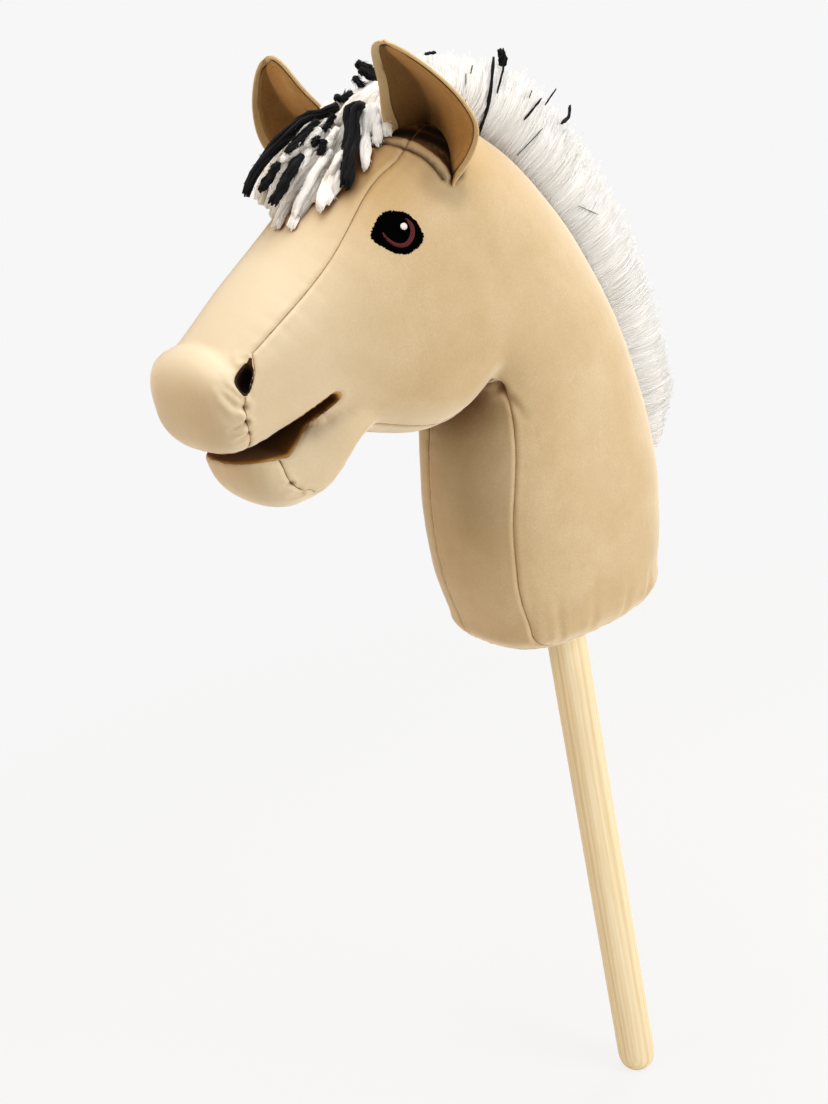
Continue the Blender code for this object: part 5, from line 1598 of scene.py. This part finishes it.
white_yarn = brushed_yarn(
    "brushed_white_yarn", [(0.1, "#f1eeea"), (0.5, "#faf9f6"), (0.9, "#ffffff")],
    fuzz=(0.8, 3.0), fuzz_share=0.3, dull=(0.75, 1.0), rise=(0.4, 0.2), sheen=0.5, gloss=0.2,
    passes_light=True,
)
black_yarn = brushed_yarn(
    "brushed_black_yarn", [(0.25, "#040304"), (0.6, "#0b0a0c"), (0.9, "#242226")],
    fuzz=(0.7, 4.0), fuzz_share=0.5, dull=(0.6, 0.9), rise=(0.5, 0.3), sheen=0.05, gloss=0.12,
)
draw = np.random.default_rng(7)
shares = draw.uniform(0, 1, MANE_STRANDS)
lengths = MANE_LENGTH * mane_fullness(shares) * draw.uniform(0.86, 1.0, MANE_STRANDS)
across = draw.uniform(-1, 1, MANE_STRANDS)
across = np.sign(across) * np.abs(across) ** 0.5
lengths *= 1 - 0.14 * across**2
roots = list(zip(shares, across))
clumps = np.array([noise.noise(Vector((share * 60, side * 1.5, 4.0))) for share, side in roots])
tufts = np.array([noise.noise(Vector((share * 95, side * 2.5, 8.0))) for share, side in roots])
lengths *= 1 + 0.11 * tufts
tilts = 0.20 * clumps + 0.12 * tufts + draw.normal(0, 0.035, MANE_STRANDS)
paths = mane_strands(shares, across, tilts, lengths, draw)
radii = tapered(MANE_STRANDS, MANE_KNOTS, MANE_YARN / 2)
loose = yarn_body("loose_strands", paths, radii, MANE_SIDES)
core = brush_core()
mesh = joined_mesh("mane_white_strands", [loose, core.data])
bpy.data.objects.remove(core, do_unlink=True)
values = np.repeat(draw.uniform(0, 1, MANE_STRANDS), MANE_KNOTS * MANE_SIDES)
values = np.concatenate([values, np.repeat(draw.uniform(0.3, 0.8, CORE_RINGS), CORE_STEPS * 2)])
yarn_piece("mane_white_strands", mesh, values, white_yarn, "white_yarn", "mane_white_yarn")

for number, group in enumerate(BLACK_GROUPS, 1):
    name = f"mane_black_strands_{number}"
    made = []
    for radius, count, points in (BLACK_STRANDS[i] for i in group):
        made.append(yarn_lock(points, radius, count, draw, BLACK_KNOTS, twist=0.4))
    paths, radii = (np.concatenate(part) for part in zip(*made))
    values = np.repeat(draw.uniform(0, 1, len(paths)), BLACK_KNOTS * BLACK_SIDES)
    mesh = yarn_body(name, paths, radii, BLACK_SIDES)
    yarn_piece(name, mesh, values, black_yarn, "black_yarn", f"mane_black_yarn_{number}")

points, outward = crest_line(TAPE_POINTS)
half, rings = MANE_TAPE_WIDTH / 2, []
for point, up in zip(points, outward):
    low, high = point - up * TAPE_BELOW, point + up * TAPE_ABOVE
    shoulder = high - up * TAPE_BEVEL / 2
    profile = [(-half, low), (half, low), (half, shoulder), (half - TAPE_BEVEL, high)]
    profile += [(TAPE_BEVEL - half, high), (-half, shoulder)]
    rings.append([at(x, *place) for x, place in profile])
tape = closed_tube("mane_tape_cloth", rings)
give_attribute(tape.data, "seam", np.zeros(len(tape.data.vertices)))
fit(tape, velour, "tan_velour", "mane_tape")


# Forelock.
# Thick soft locks of white and black yarn, knotted across the poll between the ears and left to fall
# forward over the forehead, the black over the white.

# Radii of the white locks, of those on top and of those underneath, and how much lower these lie, in mm.
LOCK_RADIUS, TOP_RADIUS, UNDER_RADIUS, UNDER_DROP = 3.0, 2.3, 3.6, 4.5
# A lock's strands, and its strands where its radius is 4 mm or more.
LOCK_STRANDS, THICK_STRANDS, THICK_RADIUS, LOCK_SIDES = 17, 28, 4, 6
LOCK_FUZZ, FUZZ_LENGTH, FUZZ_RADII = 170, 2.2, (0.16, 0.13, 0.06)
# Each lock's run from its root to its tip, in mm.
WHITE_LOCKS = [
    [(-2, 76.5, 324), (-6, 89.5, 321.5), (-10, 105.5, 316.5), (-14, 120, 306), (-15, 136, 288.5)],
    [(-3, 76, 323), (-9, 89.5, 319), (-14, 107, 311.5), (-18, 123.5, 299.5), (-18, 132, 284.5)],
    [(0, 77, 322), (-2, 92, 316.5), (-5, 108, 308.5), (-8, 124, 295.5), (-10, 133.5, 283)],
    [(2, 78.5, 321.5), (0, 91.5, 313.5), (-3, 106.5, 305), (-6, 123, 291), (-7, 134, 278.5)],
    [(3, 78, 320.5), (2, 91.5, 311.5), (0, 105.5, 301.5), (-3, 120.5, 288.5), (0, 137, 273.5)],
    [(4, 78.5, 320.5), (4, 91, 309.5), (4, 105, 299), (3, 119, 285.5), (14, 136, 273.5)],
    [(6, 79.5, 320), (7, 91, 308.5), (9, 103.5, 298), (12.5, 117.5, 288), (12.5, 128.5, 278.5)],
    [(8, 81, 319.5), (10, 92, 307.5), (13, 102.5, 297.5), (19, 114.5, 289.5), (25, 124, 280)],
    [(9, 81, 319.5), (12, 91, 309.5), (16, 100.5, 299.5), (21.5, 111, 291.5), (25, 119.5, 282)],
    [(10, 81, 319.5), (15, 91, 309.5), (20, 99, 301), (24, 108, 293), (25.5, 113.5, 286)],
    [(14, 78.5, 322), (17, 82.5, 314.5), (20, 86, 307), (26, 92, 301.5), (30, 96, 294.5)],
    [(16, 75, 322), (19, 78, 315.5), (22, 80, 310), (26, 83.5, 304)],
    [(15, 69, 324), (19, 72.5, 317.5), (22, 74, 311.5), (26, 76, 307)],
    [(2, 81, 322), (0, 89.5, 316.5), (-1, 99, 310.5), (-3, 108.5, 301.5), (-5, 117, 292)],
    [(-6, 77, 322.5), (-12, 88, 319.5), (-18, 101, 315.5), (-22, 113, 307.5), (-24, 123.5, 295.5)],
    [(8, 77, 323), (8, 86, 316.5), (9, 96.5, 306.5), (10, 108, 296), (14.5, 121.5, 284)],
    [(-8, 70, 324), (-16, 79, 322), (-22, 90, 319.5), (-28, 100.5, 313.5), (-30, 111.5, 304.5)],
    [(8, 69.5, 328.5), (8, 77.5, 326), (7, 85, 322.5), (6, 93, 317)],
    [(10, 63.5, 331.5), (11, 71.5, 327.5), (11, 79, 323), (12, 84.5, 317)],
    [(13, 64, 327), (15, 70.5, 321.5), (18, 77.5, 315.5), (21, 83, 309.5)],
    [(4, 63.5, 330.5), (2, 72, 328), (-1, 80, 325.5), (-4, 89.5, 322.5)],
    [(10, 66, 326.5), (12, 74.5, 322.5), (14, 83, 316), (17, 90, 309)],
    [(-2, 63.5, 330), (-6, 70.5, 327), (-10, 78.5, 325), (-14, 88, 322.5)],
]
# Short white locks that lie over the black ones.
TOP_LOCKS = [
    [(22, 101, 304.5), (23, 108.5, 299), (18.5, 113.5, 291), (25.5, 123.5, 281)],
    [(14, 104, 305), (14, 114, 298.5), (13, 124, 288.5), (12, 132.5, 277.5)],
    [(8, 116, 296.5), (6, 124.5, 289.5), (-6, 127, 280.5), (4.5, 137.5, 274)],
    [(9, 105, 316.5), (8, 110, 313.5), (7, 114, 309.5)],
    [(13, 97, 315), (12, 102.5, 310), (12, 107, 307)],
    [(6, 116.5, 312.5), (4, 122, 307), (3, 127.5, 304.5)],
    [(8, 112, 307.5), (8, 117.5, 303), (8, 121.5, 299)],
]
# Black locks, with their radius in mm.
BLACK_LOCKS = [
    (3.2, [(3, 88.5, 324.5), (1, 97.5, 322.5), (-2, 106.5, 322), (-5, 117.5, 315.5), (-7, 129, 308.5),
          (-8, 139, 300), (-9, 144.5, 292)]),
    (2.5, [(8, 104.5, 320), (7, 111, 316.5), (6, 118, 312.5), (5, 124, 308.5)]),
    (1.7, [(9, 95, 321), (9, 99, 318), (9, 102.5, 315)]),
    (1.9, [(10, 107.5, 313), (10, 111.5, 309)]),
    (2.1, [(13, 106.5, 311), (13, 108.5, 307), (13, 110.5, 304)]),
    (3.0, [(10, 119, 306), (10, 125, 301.5), (9, 131, 295.5), (8, 140, 286.5)]),
    (2.4, [(3, 129, 304.5), (2, 135, 299), (1, 141.5, 293.5)]),
    (4.4, [(16, 82.5, 323.5), (17, 89, 321), (19, 93, 314), (22, 96.5, 306.5), (26, 102, 299.5),
          (30.5, 109.5, 288.5)]),
    (2.0, [(2, 88.5, 329), (2, 84, 327), (2, 80.5, 328.5), (2, 78.5, 329)]),
    (2.6, [(0, 70.5, 343), (1, 68, 340.5), (1, 64, 337.5), (1, 60, 334)]),
    (1.8, [(2, 75, 336.5), (2, 73, 333.5), (2, 70.5, 330.5)]),
    (2.4, [(3, 71, 339.5), (3, 67.5, 336.5), (3, 62.5, 332.5)]),
]


def lock_fuzz(paths, radii, draw, count):
    """Fine loose fibres that stand off a lock: two to three millimetres, lying mostly along it."""
    strands, knots = paths.shape[:2]
    which, where = draw.integers(0, strands, count), draw.integers(1, knots - 1, count)
    start = paths[which, where]
    ahead = paths[which, where + 1] - paths[which, where - 1]
    ahead /= np.linalg.norm(ahead, axis=1)[:, None]
    out = start - paths[:, where].mean(axis=0)
    out /= np.linalg.norm(out, axis=1)[:, None] + 1e-9
    out += draw.normal(0, 0.5, out.shape)
    lengths = (draw.uniform(0.4, 1.0, count) * FUZZ_LENGTH * MM)[:, None]
    middle, tip = out * 0.45 + ahead * 0.3, out * 0.7 + ahead * 0.9
    fibres = np.stack([start, start + middle * lengths, start + tip * lengths], 1)
    return fibres, np.tile(np.array(FUZZ_RADII) * MM, (count, 1))


def make_locks(name, locks, finish, slot, node):
    """One piece of all the locks of one colour, with their fuzz."""
    made = []
    for radius, points in locks:
        count = LOCK_STRANDS if radius < THICK_RADIUS else THICK_STRANDS
        made.append(yarn_lock(points, radius, count, draw))
    paths, radii = (np.concatenate(part) for part in zip(*made))
    loose = [lock_fuzz(*one, draw, LOCK_FUZZ) for one in made]
    fibres, thin = (np.concatenate(part) for part in zip(*loose))
    strands, fuzz = yarn_body("strands", paths, radii, LOCK_SIDES), yarn_body("fuzz", fibres, thin, 3)
    mesh = joined_mesh(name, [strands, fuzz])
    values = np.repeat(draw.uniform(0, 1, len(paths)), paths.shape[1] * LOCK_SIDES)
    values = np.concatenate([values, np.repeat(draw.uniform(0, 1, len(fibres)), 3 * 3)])
    yarn_piece(name, mesh, values, finish, slot, node)


white_locks = [(LOCK_RADIUS, points) for points in WHITE_LOCKS]
white_locks += [(TOP_RADIUS, points) for points in TOP_LOCKS]
# The first ten have a thicker and shorter lock under them, so that no skin shows between them.
for points in WHITE_LOCKS[:10]:
    lower = []
    for number, (x, forward, height) in enumerate(points[:-1]):
        lower.append((x - 2, forward - 1, height - UNDER_DROP * min(1, number / 2)))
    white_locks.append((UNDER_RADIUS, lower))
make_locks("forelock_white_locks", white_locks, white_yarn, "white_yarn", "forelock_white_yarn")
make_locks("forelock_black_locks", BLACK_LOCKS, black_yarn, "black_yarn", "forelock_black_yarn")


# Studio.
# A pale floor that keeps a soft shadow, broad lamps like a product photographer's, and the camera at
# the photograph's height and angle.

BACKGROUND = "#f7f7f7"
FLOOR_REACH, FLOOR_CORNERS = 6.0, 64


def pale_floor():
    """Matt white paper: it bounces light, and the camera sees it near white with a soft shadow."""
    made, tree = blank_material("white_paper_floor")
    place = add(tree, "TexCoord").outputs["Object"]
    away = add(tree, "VectorMath", {0: place}, operation="LENGTH").outputs["Value"]
    fade = {"Value": away, "From Min": 0.35, "From Max": 1.1}
    far = add(tree, "MapRange", fade, interpolation_type="SMOOTHSTEP")
    rays = add(tree, "LightPath")
    matt = add(tree, "BsdfDiffuse", {"Color": linear("#f2f2f2")})
    lit = add(tree, "BsdfDiffuse", {"Color": linear("#5c5c5c")})
    glow = add(tree, "Emission", {"Color": linear("#e9e9e9"), "Strength": 1.0})
    near = add(tree, "AddShader", {0: lit.outputs[0], 1: glow.outputs[0]})
    plain = add(tree, "Emission", {"Color": linear(BACKGROUND), "Strength": 1.0})
    seen = add(tree, "MixShader", {0: far.outputs["Result"], 1: near.outputs[0], 2: plain.outputs[0]})
    direct = rays.outputs["Is Camera Ray"]
    final = add(tree, "MixShader", {0: direct, 1: matt.outputs[0], 2: seen.outputs[0]})
    add(tree, "OutputMaterial", {"Surface": final.outputs[0]})
    return made


mesh = bpy.data.meshes.new("floor")
turns = [2 * math.pi * i / FLOOR_CORNERS for i in range(FLOOR_CORNERS)]
edge = [(FLOOR_REACH * math.cos(a), FLOOR_REACH * math.sin(a), 0) for a in turns]
mesh.from_pydata(edge, [], [tuple(range(FLOOR_CORNERS))])
floor = new_piece("floor", mesh)
wear(floor, pale_floor())

world = bpy.data.worlds.new("studio")
bpy.context.scene.world = world
world.use_nodes = True
world.node_tree.nodes.clear()
tree = world.node_tree
rays = add(tree, "LightPath")
direct, glossy = rays.outputs["Is Camera Ray"], rays.outputs["Is Glossy Ray"]
seen = add(tree, "Math", {0: direct, 1: glossy}, operation="MAXIMUM")
light = add(tree, "Background", {"Color": linear("#fff1e0"), "Strength": 0.3})
paper = add(tree, "Background", {"Color": linear(BACKGROUND), "Strength": 1.0})
both = add(tree, "MixShader", {0: seen.outputs[0], 1: light.outputs[0], 2: paper.outputs[0]})
add(tree, "OutputWorld", {"Surface": both.outputs[0]})


def softbox(name, place, target, size, power, colour="#ffffff"):
    """A broad lamp at a place, turned to a target. Sizes are in metres and power in watts."""
    lamp = bpy.data.lights.new(name, "AREA")
    lamp.color = linear(colour)[:3]
    lamp.shape = "RECTANGLE"
    lamp.size, lamp.size_y = size
    lamp.energy = power
    thing = bpy.data.objects.new(name, lamp)
    bpy.context.scene.collection.objects.link(thing)
    thing.location = place
    thing.rotation_mode = "QUATERNION"
    thing.rotation_quaternion = (Vector(target) - Vector(place)).to_track_quat("-Z", "Y")


softbox("overhead softbox", (0.1, -0.05, 1.85), (0, 0, 0.5), (1.1, 1.1), 17)
softbox("side softbox", (1.4, 0.6, 0.9), (0, 0, 0.45), (0.8, 1.0), 17)
softbox("rear softbox", (-0.3, 1.5, 1.1), (0, 0, 0.5), (0.8, 0.8), 9)
softbox("front softbox", (-0.35, -1.3, 1.3), (0, 0, 0.4), (0.8, 0.8), 7.5, "#ffe2c0")

# The camera's place in metres and its own directions, as fitted to the stick and the head's outline.
CAMERA_SENSOR, CAMERA_LENS = 36, 54.4565
CAMERA_PLACE = (0.75841, -0.54976, 0.72188)
CAMERA_RIGHT = (0.56142, 0.80681, -0.18404)
CAMERA_UP = (-0.18196, 0.33731, 0.92364)
CAMERA_LOOK = (-0.80728, 0.48506, -0.33618)
camera = bpy.data.cameras.new("camera")
camera.sensor_fit = "AUTO"
camera.sensor_width, camera.lens = CAMERA_SENSOR, CAMERA_LENS
camera.clip_start, camera.clip_end = 0.01, 100
view = bpy.data.objects.new("camera", camera)
bpy.context.scene.collection.objects.link(view)
turn = Matrix((CAMERA_RIGHT, CAMERA_UP, [-c for c in CAMERA_LOOK])).transposed().to_4x4()
view.matrix_world = Matrix.Translation(CAMERA_PLACE) @ turn
bpy.context.scene.camera = view
bpy.context.scene.view_settings.view_transform = "Standard"
